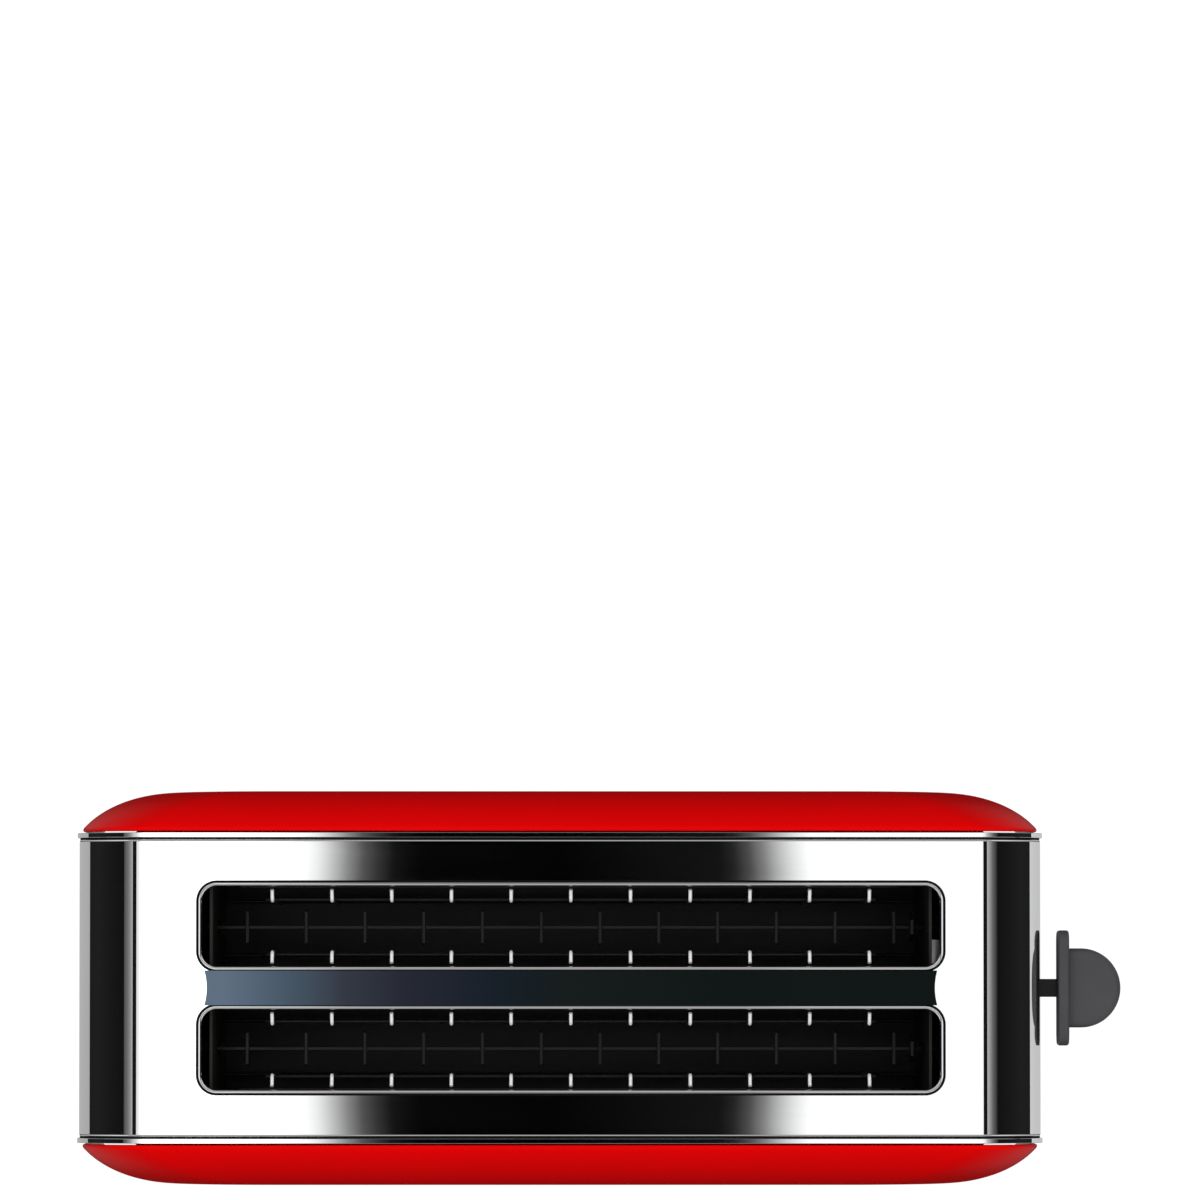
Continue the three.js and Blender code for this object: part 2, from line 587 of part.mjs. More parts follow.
// A flat ribbon that runs to and fro over the rear face of a heater board.
function heatingRibbon() {
  const half = CHASSIS_HALF - RIBBON_MARGIN;
  const low = HEATER_LOW + RIBBON_MARGIN;
  const pitch = (HEATER_HIGH - HEATER_LOW - 2 * RIBBON_MARGIN - RIBBON_WIDTH) / (RIBBON_RUNS - 1);
  const near = MICA / 2 + FIT;
  const stretch = (x0, x1, z0, z1) => block(x0, x1, near, near + RIBBON, z0, z1);
  const pieces = [];
  for (let run = 0; run < RIBBON_RUNS; run++) {
    const z = low + run * pitch;
    pieces.push(stretch(-half, half, z, z + RIBBON_WIDTH));
    const turnX = run % 2 ? -half : half - RIBBON_WIDTH;
    if (run + 1 < RIBBON_RUNS) pieces.push(stretch(turnX, turnX + RIBBON_WIDTH, z, z + pitch + RIBBON_WIDTH));
  }
  return join(pieces);
}

// A wire guard about its own hinge wire. Its uprights stand on the bread's side and bend away at the top.
function guard() {
  const top = GUARD_TOP - PIVOT_Z;
  const flareZ = top - FLARE_HEIGHT;
  const wireY = GUARD_Y - HINGE_Y;
  const outline = polygon([
    [wireY - WIRE / 2, -WIRE / 2],
    [wireY + WIRE / 2, -WIRE / 2],
    [wireY + WIRE / 2, flareZ - WIRE / 2],
    [wireY + WIRE / 2 + GUARD_FLARE, top - WIRE],
    [wireY + WIRE / 2 + GUARD_FLARE, top],
    [wireY + GUARD_FLARE / 2, top],
    [wireY - WIRE / 2, flareZ],
  ]);
  const uprights = Array.from({ length: WIRE_COUNT }, (_, i) => {
    const x = (i - (WIRE_COUNT - 1) / 2) * WIRE_PITCH;
    return prism("x", outline, x - WIRE / 2, x + WIRE / 2);
  });
  const reach = ((WIRE_COUNT - 1) / 2) * WIRE_PITCH + 4;
  const rails = Array.from({ length: GUARD_RAILS }, (_, i) => {
    const z = (flareZ * (i + 1)) / (GUARD_RAILS + 1);
    return block(-reach, reach, -WIRE / 2, WIRE / 2, z - WIRE / 2, z + WIRE / 2);
  });
  const hingeHalf = CHASSIS_HALF + PLATE + 2.5;
  return join([bar("x", -hingeHalf, 0, 0, WIRE / 2, 2 * hingeHalf, 8), ...uprights, ...rails]);
}

// ---------------------------------------------------------------- Bread carriage

// A bread rack: an edge-on strip with cross fins, a stop at the lever end and a foot to rivet.
function rack() {
  const low = RACK_Z - RACK_HEIGHT;
  const finHalf = GUARD_Y - WIRE / 2 - FIN_ROOM;
  const footX = BRACKET_X - SLOT_X - FIT;
  const strip = block(-CHASSIS_HALF - PLATE - 6, footX, -RACK_STRIP / 2, RACK_STRIP / 2, low, RACK_Z - 1);
  const foot = block(footX - RACK_STRIP, footX, -6, 6, low, RACK_Z - 1);
  const fins = Array.from({ length: WIRE_COUNT + 1 }, (_, i) => {
    const x = (i - WIRE_COUNT / 2) * WIRE_PITCH;
    return block(x - RACK_STRIP / 2, x + RACK_STRIP / 2, -finHalf, finHalf, RACK_Z - FIN_HEIGHT, RACK_Z);
  });
  const stopX = CHASSIS_HALF - 6;
  const stop = polygon([
    [-6, RACK_Z - FIN_HEIGHT],
    [6, RACK_Z - FIN_HEIGHT],
    [3, RACK_Z + STOP_HEIGHT],
    [-3, RACK_Z + STOP_HEIGHT],
  ]);
  return join([strip, foot, ...fins, prism("x", stop, stopX, stopX + RACK_STRIP)]);
}

// The plate behind both racks' feet, narrowing up to the slider.
function carriageBracket() {
  const wide = SLOT_PITCH / 2 + 7;
  const low = RACK_Z - RACK_HEIGHT;
  const outline = polygon([
    [-wide, low],
    [wide, low],
    [wide, RACK_Z + 2],
    [SLIDER_HALF, RACK_Z + 10],
    [SLIDER_HALF, SLIDER_Z + SLIDER_HEIGHT - 2],
    [-SLIDER_HALF, SLIDER_Z + SLIDER_HEIGHT - 2],
    [-SLIDER_HALF, RACK_Z + 10],
    [-wide, RACK_Z + 2],
  ]);
  const window = roundedRect(-10, 10, RACK_Z + 2, SLIDER_Z - 3, 3);
  return cut(prism("x", outline, 0, BRACKET), [prism("x", window, -1, BRACKET + 1)]);
}

function carriageSlider() {
  const top = SLIDER_Z + SLIDER_HEIGHT;
  const body = block(SLIDER_LEFT, SLIDER_RIGHT, -SLIDER_HALF, SLIDER_HALF, SLIDER_Z, top);
  const wall = 3;
  const [left, right] = [SLIDER_LEFT + wall, SLIDER_RIGHT - wall];
  const pocket = block(left, right, wall - SLIDER_HALF, -ARM_WIDTH / 2 - 2, SLIDER_Z + 2 * wall, top + 1);
  return cut(body, [bar("z", ROD_X, ROD_Y, SLIDER_Z - 1, ROD_RADIUS + RUN, SLIDER_HEIGHT + 2, 16), pocket]);
}

function latchPlate() {
  return block(SLIDER_LEFT + 2, SLIDER_RIGHT - 1, MAGNET_Y - 7, MAGNET_Y + 7, -FIT - BRACKET, -FIT);
}

function leverNeck() {
  const half = ARM_THICKNESS / 2;
  return block(SLIDER_RIGHT + FIT, KNOB_X - FIT, -ARM_WIDTH / 2, ARM_WIDTH / 2, -half, half);
}

// The knob: a rounded plate across the lever with a D-shaped tongue to press.
function leverKnob() {
  const radius = TONGUE_WIDTH / 2;
  const plate = roundedRect(-KNOB_WIDTH / 2, KNOB_WIDTH / 2, -KNOB_HEIGHT / 2, KNOB_HEIGHT / 2, 5);
  const tongue = new THREE.Shape();
  tongue.moveTo(KNOB_PLATE - 1, -radius);
  tongue.absarc(KNOB_PLATE + TONGUE_STRAIGHT, 0, radius, -Math.PI / 2, Math.PI / 2);
  tongue.lineTo(KNOB_PLATE - 1, radius);
  tongue.closePath();
  return prism("x", plate, 0, KNOB_PLATE).add(prism("z", tongue, -TONGUE_HEIGHT / 2, TONGUE_HEIGHT / 2, 6));
}

function guideRod() {
  return bar("z", 0, 0, FLOOR_Z + FIT, ROD_RADIUS, STOP_Z + BRACKET + 2 - FLOOR_Z, 12);
}

// The arm from the end plate that holds the rod's top.
function rodBracket() {
  const left = PLATE_OUTER + FIT;
  const arm = block(left, ROD_X + ROD_RADIUS + 3, ROD_Y - 6, ROD_Y + 6, STOP_Z, STOP_Z + BRACKET);
  const flange = block(left, left + BRACKET, ROD_Y - 6, ROD_Y + 6, STOP_Z, STOP_Z + 12);
  return cut(arm.add(flange), [bar("z", ROD_X, ROD_Y, STOP_Z - 1, ROD_RADIUS + FIT, BRACKET + 2, 16)]);
}

class Helix extends THREE.Curve {
  constructor(radius, height, turns) {
    super();
    Object.assign(this, { radius, height, turns });
  }

  getPoint(t, target = new THREE.Vector3()) {
    const angle = 2 * Math.PI * this.turns * t;
    return target.set(this.radius * Math.cos(angle), this.radius * Math.sin(angle), this.height * t);
  }
}

// The compression spring round the rod, from the base's boss up to the slider.
function liftSpring() {
  const section = new THREE.Shape();
  section.absarc(0, 0, SPRING_WIRE, 0, 2 * Math.PI);
  const height = SLIDER_Z - FIT - SPRING_Z - 2 * SPRING_WIRE;
  const geometry = new THREE.ExtrudeGeometry(section, {
    steps: 10 * SPRING_TURNS,
    curveSegments: 3,
    bevelEnabled: false,
    extrudePath: new Helix(ROD_RADIUS + SPRING_WIRE + FIT, height, SPRING_TURNS),
  });
  return solid(geometry.translate(0, 0, SPRING_Z + SPRING_WIRE));
}

// ---------------------------------------------------------------- Controls

function magnetCore() {
  const [left, right] = [SLIDER_LEFT + 2, BOARD_X - FIT];
  const far = SLIDER_RIGHT - 1;
  const middle = (left + far) / 2;
  const half = MAGNET_DEPTH / 2;
  const slab = (x0, x1, z0, z1) => block(x0, x1, MAGNET_Y - half, MAGNET_Y + half, z0, z1);
  const low = MAGNET_Z - MAGNET_HEIGHT;
  return join([
    slab(left, right, low, low + POLE),
    slab(left, left + POLE / 1.5, low, MAGNET_Z),
    slab(middle - POLE / 2, middle + POLE / 2, low, MAGNET_Z),
    slab(far - POLE / 1.5, far, low, MAGNET_Z),
  ]);
}

// The winding round the core's middle pole.
function magnetCoil() {
  const middle = (SLIDER_LEFT + SLIDER_RIGHT + 1) / 2;
  const ring = (grow) => {
    const x = POLE / 2 + FIT + grow;
    const y = MAGNET_DEPTH / 2 + FIT + grow;
    return roundedRect(middle - x, middle + x, MAGNET_Y - y, MAGNET_Y + y, 0.5 + grow);
  };
  const low = MAGNET_Z - MAGNET_HEIGHT + POLE + FIT;
  const high = MAGNET_Z - 2;
  return cut(prism("z", ring(COIL_WALL), low, high, 2), [prism("z", ring(0), low - 1, high + 1, 2)]);
}

function controlBoard() {
  return block(0, BOARD, -BOARD_WIDTH / 2, BOARD_WIDTH / 2, BOARD_LOW, BOARD_HIGH);
}

function boardConnector() {
  const low = BASE_TOP + RUN;
  const body = block(-8 - FIT, -FIT, MAGNET_Y - 7, MAGNET_Y + 7, low, low + 10);
  return cut(body, [-1, 0, 1].map((i) => bar("z", -4 - FIT, MAGNET_Y + 4.5 * i, low + 6, 1.4, 5, 8)));
}

function dialSensor() {
  const body = block(0, 5, -SENSOR / 2, SENSOR / 2, -SENSOR / 2, SENSOR / 2);
  return body.add(bar("x", 4, 0, 0, SHAFT_RADIUS + 1, 2.5));
}

function controlPanel() {
  const shell = prism("x", controlShape(0), FACE_X - CONTROL_SKIRT, FACE_X);
  const sheetBack = END - STEEL - FIT;
  const flange = prism("x", controlShape(CONTROL_FLANGE), sheetBack - CONTROL_FLANGE, sheetBack);
  const hollow = prism("x", controlShape(-CONTROL_WALL), FACE_X - CONTROL_SKIRT - 1, FACE_X - CONTROL_WALL);
  const way = ARM_WIDTH / 2 + RUN;
  const reach = ARM_THICKNESS / 2 + RUN;
  const leverWay = roundedRect(-way, way, LEVER_LOW - reach, LEVER_Z + reach, 2 * RUN);
  const through = [FACE_X - CONTROL_WALL - 1, CONTROL_WALL + 2];
  const shaftHole = bar("x", through[0], 0, DIAL_Z, SHAFT_RADIUS + RUN, through[1]);
  const buttonHoles = [-1, 0, 1].map((i) =>
    bar("x", through[0], i * BUTTON_PITCH, BUTTON_Z, BUTTON_RADIUS + RUN, through[1], 16),
  );
  const slot = prism("x", leverWay, through[0], FACE_X + 1);
  return cut(join([shell, flange]), [hollow, slot, shaftHole, ...buttonHoles]);
}

// The dial, from its back face. A ridge across its front points to the setting.
function dial() {
  const cap = DIAL_LENGTH - DIAL_GRIP;
  const profile = [
    [0, 0],
    [DIAL_RADIUS, 0],
    [DIAL_RADIUS, cap - 1],
    [DIAL_RADIUS - 1, cap],
    [0, cap],
  ];
  const ridge = block(cap - 1, DIAL_LENGTH, -2, 2, -DIAL_RADIUS + 2, DIAL_RADIUS - 1);
  const bore = bar("x", -1, 0, 0, SHAFT_RADIUS + FIT, DIAL_BORE + 1);
  return cut(turned("x", profile, 24).add(ridge), [bore]);
}

function dialShaft() {
  const start = SENSOR_X + 6.5 + FIT;
  return bar("x", start, 0, 0, SHAFT_RADIUS, FACE_X + RUN + DIAL_BORE - FIT - start);
}

// A push button from the control panel's face, with a collar that keeps it in the panel.
function button() {
  const collar = -CONTROL_WALL - FIT;
  const back = SENSOR_X - FACE_X + BUTTON_TRAVEL + RUN;
  const profile = [
    [0, back],
    [BUTTON_RADIUS - 1.5, back],
    [BUTTON_RADIUS - 1.5, collar - 1.5],
    [BUTTON_RADIUS + BUTTON_COLLAR, collar - 1.5],
    [BUTTON_RADIUS + BUTTON_COLLAR, collar],
    [BUTTON_RADIUS, collar],
    [BUTTON_RADIUS, BUTTON_PROUD - 0.6],
    [BUTTON_RADIUS - 0.6, BUTTON_PROUD],
    [0, BUTTON_PROUD],
  ];
  return turned("x", profile, 16);
}

// ---------------------------------------------------------------- Assembly

const toaster = new THREE.Group();
toaster.position.x = BODY_X;

function assembly(x = 0, y = 0, z = 0) {
  const group = new THREE.Group();
  group.position.set(x, y, z);
  toaster.add(group);
  return group;
}

// Adds a piece to a group at a place, turned half round when it faces the front.
function add(group, name, made, material, [x, y, z] = [0, 0, 0], facesFront = false) {
  const mesh = new THREE.Mesh(geometryOf(made), material);
  mesh.name = name;
  mesh.position.set(x, y, z);
  mesh.rotation.z = facesFront ? Math.PI : 0;
  group.add(mesh);
}

const shells = assembly();
add(shells, "steel_wrap", steelWrap(), POLISHED);
add(shells, "panel_front", sidePanel(), ENAMEL, [0, 0, 0], true);
add(shells, "panel_rear", sidePanel(), ENAMEL);
add(shells, "centre_strip", centreStrip(), GLOSS_BLACK, [0, 0, BODY_HEIGHT + FIT]);

const bottom = assembly();
const wallY = PANEL_Y - BASE_INSET;
add(bottom, "base", base(), BLACK_PLASTIC);
add(bottom, "cord_gland", cordGland(), RUBBER, [GLAND_PLACE[0], wallY, GLAND_PLACE[1]]);
for (const [number, x, y] of corners(FOOT_PLACE)) {
  add(bottom, `foot_${number}`, foot(), RUBBER, [x, y, 0]);
}
for (const [number, x, y] of corners(BOSS_PLACE)) {
  add(bottom, `base_screw_${number}`, baseScrew(), ZINC, [x, y, BASE_Z - FIT]);
}
add(bottom, "crumb_tray", crumbTray(), ZINC, [0, 0, TRAY_Z]);
add(bottom, "tray_handle", trayHandle(), BLACK_PLASTIC);

const chassis = assembly(SLOT_X);
add(chassis, "end_plate_left", endPlate(), ZINC, [-CHASSIS_HALF - PLATE, 0, 0]);
add(chassis, "end_plate_right", endPlate(), ZINC, [CHASSIS_HALF, 0, 0]);
add(chassis, "reflector_front", reflector(), ZINC, [0, 0, 0], true);
add(chassis, "reflector_rear", reflector(), ZINC);
const boards = { front: -HEATER_Y, centre: 0, rear: HEATER_Y };
for (const [row, y] of Object.entries(boards)) {
  add(chassis, `heater_board_${row}`, heaterBoard(), MICA_SHEET, [0, y, 0]);
}

for (const [row, y] of Object.entries(SLOT_ROWS)) {
  const outerBoard = boards[row];
  const outerFacesFront = y > 0; // the outer board's winding looks at the slot
  add(chassis, `ribbon_${row}_outer`, heatingRibbon(), NICHROME, [0, outerBoard, 0], outerFacesFront);
  add(chassis, `ribbon_${row}_inner`, heatingRibbon(), NICHROME, [0, 0, 0], !outerFacesFront);
  add(chassis, `guard_${row}_near`, guard(), WIRE_STEEL, [0, y - HINGE_Y, PIVOT_Z], true);
  add(chassis, `guard_${row}_far`, guard(), WIRE_STEEL, [0, y + HINGE_Y, PIVOT_Z]);
  add(chassis, `rack_${row}`, rack(), WIRE_STEEL, [0, y, 0]);
}

const carriage = assembly();
add(carriage, "carriage_bracket", carriageBracket(), ZINC, [BRACKET_X, 0, 0]);
add(carriage, "carriage_slider", carriageSlider(), BLACK_PLASTIC);
add(carriage, "latch_plate", latchPlate(), ZINC, [0, 0, SLIDER_Z]);
add(carriage, "lever_neck", leverNeck(), BLACK_PLASTIC, [0, 0, LEVER_Z]);
add(carriage, "lever_knob", leverKnob(), KNOB_PLASTIC, [KNOB_X, 0, LEVER_Z]);
add(carriage, "guide_rod", guideRod(), WIRE_STEEL, [ROD_X, ROD_Y, 0]);
add(carriage, "rod_bracket", rodBracket(), ZINC);
add(carriage, "lift_spring", liftSpring(), WIRE_STEEL, [ROD_X, ROD_Y, 0]);

const controls = assembly();
add(controls, "magnet_core", magnetCore(), ZINC);
add(controls, "magnet_coil", magnetCoil(), COPPER);
add(controls, "control_board", controlBoard(), CIRCUIT, [BOARD_X, 0, 0]);
add(controls, "board_connector", boardConnector(), TERMINAL, [BOARD_X, 0, 0]);
add(controls, "dial_sensor", dialSensor(), ZINC, [SENSOR_X, 0, DIAL_Z]);
add(controls, "control_panel", controlPanel(), GLOSS_BLACK);
add(controls, "dial", dial(), BLACK_PLASTIC, [FACE_X + RUN, 0, DIAL_Z]);
add(controls, "dial_shaft", dialShaft(), ZINC, [0, 0, DIAL_Z]);
["cancel", "defrost", "reheat"].forEach((name, i) => {
  add(controls, `button_${name}`, button(), KNOB_PLASTIC, [FACE_X, (i - 1) * BUTTON_PITCH, BUTTON_Z]);
});

export default toaster;
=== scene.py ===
# %% [markdown]
# # A long-slot pop-up toaster
#
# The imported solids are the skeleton: they hold every size, and they are what moves. This lesson
# builds the surfaces a person sees around them, one piece at a time. Each piece takes its place
# from the box of the solid that it stands for, so nothing here has to be lined up by eye.

# %% Load the skeleton
import json
import math

import bmesh
import bpy
from mathutils import Matrix, Vector
from mathutils.geometry import tessellate_polygon


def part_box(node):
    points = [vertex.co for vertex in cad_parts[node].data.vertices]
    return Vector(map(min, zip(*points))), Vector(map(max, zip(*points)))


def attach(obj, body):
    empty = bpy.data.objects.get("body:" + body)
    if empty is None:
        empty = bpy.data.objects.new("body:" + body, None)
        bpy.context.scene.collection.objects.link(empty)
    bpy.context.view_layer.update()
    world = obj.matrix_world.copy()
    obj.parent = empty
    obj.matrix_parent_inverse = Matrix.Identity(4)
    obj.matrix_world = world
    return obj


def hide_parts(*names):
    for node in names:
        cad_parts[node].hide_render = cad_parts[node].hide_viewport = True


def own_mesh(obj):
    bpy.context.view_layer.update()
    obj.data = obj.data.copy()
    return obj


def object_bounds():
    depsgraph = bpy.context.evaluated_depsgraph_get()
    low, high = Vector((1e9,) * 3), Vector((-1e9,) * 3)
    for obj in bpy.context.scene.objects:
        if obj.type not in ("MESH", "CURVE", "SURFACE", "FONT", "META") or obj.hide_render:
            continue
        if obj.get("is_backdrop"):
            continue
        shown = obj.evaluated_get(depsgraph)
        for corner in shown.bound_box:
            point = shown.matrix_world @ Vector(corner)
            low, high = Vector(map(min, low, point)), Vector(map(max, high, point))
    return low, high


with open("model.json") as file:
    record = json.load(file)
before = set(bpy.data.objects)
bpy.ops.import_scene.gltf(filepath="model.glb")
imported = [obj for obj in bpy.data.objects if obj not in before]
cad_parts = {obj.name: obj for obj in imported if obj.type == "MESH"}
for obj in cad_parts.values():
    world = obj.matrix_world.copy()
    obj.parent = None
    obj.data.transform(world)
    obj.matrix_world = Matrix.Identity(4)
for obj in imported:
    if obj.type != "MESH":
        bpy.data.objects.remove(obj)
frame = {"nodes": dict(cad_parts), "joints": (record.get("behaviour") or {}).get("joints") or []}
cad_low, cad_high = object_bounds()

MM = 0.001

# %% [markdown]
# ## The few sizes that everything hangs on
#
# A toaster's outside is a sheet of steel bent over the top and down both ends, so its length,
# height and bend radius place nearly all the rest. They are read from the solids' boxes. Only
# what a box can't tell, such as the radius of a fold, is stated as a number, in millimetres.
# FIT is the gap between fixed pieces that touch, and RUN the gap round pieces that move.

# %% Read the main places
wrap_low, wrap_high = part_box("steel_wrap")
panel_low, panel_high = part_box("panel_rear")
strip_low, strip_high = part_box("centre_strip")
base_low, base_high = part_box("base")

MIDDLE = (wrap_low.x + wrap_high.x) / 2
HEM_PROUD = 0.8 * MM
BEND_RADIUS = 28 * MM
STEEL = 1 * MM
FIT = 0.3 * MM
RUN = 0.6 * MM
HALF_LENGTH = (wrap_high.x - wrap_low.x) / 2 - HEM_PROUD
HALF_BAND = wrap_high.y
TOP = strip_low.z - FIT
SKIRT = wrap_low.z


def centre_of(node):
    """The middle of a solid's box, as x, y and z."""
    return [(low + high) / 2 for low, high in zip(*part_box(node))]


print(f"wrap {2000 * HALF_LENGTH:.1f} mm long, {2000 * HALF_BAND:.1f} mm wide, top at {1000 * TOP:.1f} mm")

# %% [markdown]
# ## Outlines
#
# Most edges of a pressed or moulded piece are one outline seen at several distances: the edge
# itself, the start of its rounding, the lip of a hole. So an outline here is a function of how
# far it has grown, and every ring of a piece has as many points as the next. A station is a
# pair: how far the outline has grown, and where along the axis it stands.


# %% Outline helpers
def arc(cx, cy, rx, ry, start, end, steps):
    """Points of an elliptical arc, both ends included, with its angles in degrees."""
    angles = [math.radians(start + (end - start) * i / steps) for i in range(steps + 1)]
    return [(cx + rx * math.cos(a), cy + ry * math.sin(a)) for a in angles]


def rounded_rect(x0, x1, y0, y1, radius, steps=8):
    """A function that gives the rounded rectangle grown by some distance, anticlockwise."""

    def grown(grow):
        r = max(radius + grow, 0.02 * MM)
        left, right, low, high = x0 - grow + r, x1 + grow - r, y0 - grow + r, y1 + grow - r
        return (
            arc(right, low, r, r, -90, 0, steps)
            + arc(right, high, r, r, 0, 90, steps)
            + arc(left, high, r, r, 90, 180, steps)
            + arc(left, low, r, r, 180, 270, steps)
        )

    return grown


def circle(cx, cy, radius, steps=48):
    """A function that gives the circle grown by some distance."""
    last = 360 * (steps - 1) / steps
    return lambda grow: arc(cx, cy, radius + grow, radius + grow, 0, last, steps - 1)


# A plane's two directions and its normal, so that (u, v, w) lands in the frame.
PLANES = {
    "x": lambda u, v, w: Vector((w, u, v)),
    "y": lambda u, v, w: Vector((u, w, v)),
    "z": lambda u, v, w: Vector((u, v, w)),
}


def stack(outline, axis, stations):
    """Rings of one outline along an axis, from (growth, height) stations."""
    return [[PLANES[axis](u, v, w) for u, v in outline(grow)] for grow, w in stations]


def quarter_edge(radius, height, steps=4):
    """Stations of a rounded edge, from the flat end out to the full outline."""
    turns = [math.pi / 2 * i / steps for i in range(steps + 1)]
    return [(-radius * (1 - math.sin(a)), height + radius * (1 - math.cos(a))) for a in turns]


print("outline points of a rounded rectangle:", len(rounded_rect(0, 1, 0, 1, 0.1)(0)))

# %% [markdown]
# ## From rings to a mesh
#
# A loft joins one ring to the next with quads. It makes domes, rolled rims, fillets and turned
# parts alike, and unlike a bevel it never meets a corner that it can't solve. Flat faces with
# holes are filled between the last rings. Normals are made to agree, then one outermost face
# says which way is out.


# %% Mesh helpers
def add_ring(bm, points):
    """New vertices at the points of a ring."""
    return [bm.verts.new(p) for p in points]


def bridge(bm, ring_a, ring_b, closed=True):
    """Joins two rings of vertices with quads."""
    count = len(ring_a)
    for i in range(count if closed else count - 1):
        j = (i + 1) % count
        bm.faces.new((ring_a[i], ring_a[j], ring_b[j], ring_b[i]))


def loft(bm, rings, closed=True):
    """Joins rings of points with quads, and returns their vertices."""
    made = [add_ring(bm, ring) for ring in rings]
    for ring_a, ring_b in zip(made, made[1:]):
        bridge(bm, ring_a, ring_b, closed)
    return made


def fill_flat(bm, outer, holes=()):
    """Fills a flat outline of vertices, less its holes."""
    loops = [outer, *holes]
    verts = [v for loop in loops for v in loop]
    for triple in tessellate_polygon([[v.co for v in loop] for loop in loops]):
        corners = [verts[i] for i in triple]
        if len(set(corners)) == 3 and bm.faces.get(corners) is None:
            bm.faces.new(corners)


def face_out(bm, towards):
    """Makes the normals agree, then points them out by the face furthest in one direction."""

    def reach(face):
        # Of faces that lie equally far, the one that turns that way the most decides.
        return face.calc_center_median().dot(towards) + 1e-3 * abs(face.normal.dot(towards))

    bmesh.ops.recalc_face_normals(bm, faces=bm.faces)
    if max(bm.faces, key=reach).normal.dot(towards) < 0:
        bmesh.ops.reverse_faces(bm, faces=bm.faces)


def object_from(name, bm, towards=Vector((0, 0, 1))):
    """A new object from a bmesh, with its faces outwards."""
    bmesh.ops.remove_doubles(bm, verts=bm.verts, dist=1e-7)
    face_out(bm, towards)
    mesh = bpy.data.meshes.new(name)
    bm.to_mesh(mesh)
    bm.free()
    made = bpy.data.objects.new(name, mesh)
    bpy.context.scene.collection.objects.link(made)
    return made


def settle(obj):
    """Applies an object's modifiers to its mesh."""
    bpy.context.view_layer.update()
    evaluated = obj.evaluated_get(bpy.context.evaluated_depsgraph_get())
    mesh = bpy.data.meshes.new_from_object(evaluated)
    obj.modifiers.clear()
    old, obj.data = obj.data, mesh
    bpy.data.meshes.remove(old)
    mesh.name = obj.name
    return obj


def thicken(obj, thickness):
    """Gives a one-sided sheet a thickness, inwards."""
    solidify = obj.modifiers.new("thickness", "SOLIDIFY")
    solidify.thickness = thickness
    solidify.offset = -1
    solidify.use_even_offset = True
    return settle(obj)


def combine(obj, other, operation):
    """Cuts another object from this one or joins it on, and removes the other."""
    boolean = obj.modifiers.new("boolean", "BOOLEAN")
    boolean.object = other
    boolean.operation = operation
    boolean.solver = "EXACT"
    settle(obj)
    bpy.data.objects.remove(other)
    return obj


def polish(obj, crease=32):
    """Smooth faces with sharp edges past an angle, and normals that keep flat faces flat."""
    mesh = obj.data
    mesh.polygons.foreach_set("use_smooth", [True] * len(mesh.polygons))
    mesh.set_sharp_from_angle(angle=math.radians(crease))
    weighted = obj.modifiers.new("flat faces stay flat", "WEIGHTED_NORMAL")
    weighted.keep_sharp = True
    weighted.weight = 80
    return obj


# %% [markdown]
# ## Finishes
#
# Every finish is a small node tree. Two noises run through it on the object's own coordinates:
# a broad one shifts the colour and the roughness a little, as handling and pressing do, and a
# fine one raises the grain. Mottle and spread say how far the colour and the roughness shift,
# broad and grain are the two noises' scales, raised is the grain's strength, and stretch draws
# both out along an axis. Numbers that don't vary sit on the shader's own sockets.


# %% Finish helper
def linear(red, green, blue):
    """A colour as a screen gives it, 0 to 255, as light."""
    share = [c / 255 for c in (red, green, blue)]
    return tuple(c / 12.92 if c <= 0.04045 else ((c + 0.055) / 1.055) ** 2.4 for c in share) + (1.0,)


def add_node(tree, kind, inputs=None, **settings):
    """A node with its settings, and its inputs set or linked by name or number."""
    node = tree.nodes.new(kind)
    for key, value in settings.items():
        setattr(node, key, value)
    for key, value in (inputs or {}).items():
        if isinstance(value, bpy.types.NodeSocket):
            tree.links.new(value, node.inputs[key])
        else:
            node.inputs[key].default_value = value
    return node


def output_of(tree, kind, inputs=None, **settings):
    """The first output of a new node."""
    return add_node(tree, kind, inputs, **settings).outputs[0]


def finish(
    name, colour, roughness, mottle=0.05, spread=0.04,
    broad=18, grain=900, raised=0.02, stretch=(1, 1, 1), **shader,
):
    """A procedural finish. Extra values, such as Metallic=1, are set on the shader by name."""
    material = bpy.data.materials.new(name)
    material.use_nodes = True
    tree = material.node_tree
    principled = tree.nodes["Principled BSDF"]
    place = add_node(tree, "ShaderNodeTexCoord").outputs["Object"]
    mapped = output_of(tree, "ShaderNodeMapping", {"Vector": place, "Scale": stretch})
    wide = output_of(tree, "ShaderNodeTexNoise", {"Vector": mapped, "Scale": broad, "Detail": 3})
    fine = output_of(tree, "ShaderNodeTexNoise", {"Vector": mapped, "Scale": grain, "Detail": 2})
    low, high = 0.3, 0.7
    ramp = add_node(tree, "ShaderNodeValToRGB", {"Fac": wide})
    for stop, position, share in zip(ramp.color_ramp.elements, (low, high), (1 - mottle, 1 + mottle)):
        stop.position = position
        stop.color = tuple(min(1, c * share) for c in colour[:3]) + (1,)
    reach = {"From Min": low, "From Max": high, "To Min": roughness - spread, "To Max": roughness + spread}
    rough = output_of(tree, "ShaderNodeMapRange", {"Value": wide, **reach})
    bump = output_of(tree, "ShaderNodeBump", {"Height": fine, "Strength": raised, "Distance": 0.2 * MM})
    for socket, value in (("Base Color", ramp.outputs["Color"]), ("Roughness", rough), ("Normal", bump)):
        tree.links.new(value, principled.inputs[socket])
    for key, value in shader.items():
        principled.inputs[key.replace("_", " ")].default_value = value
    return material


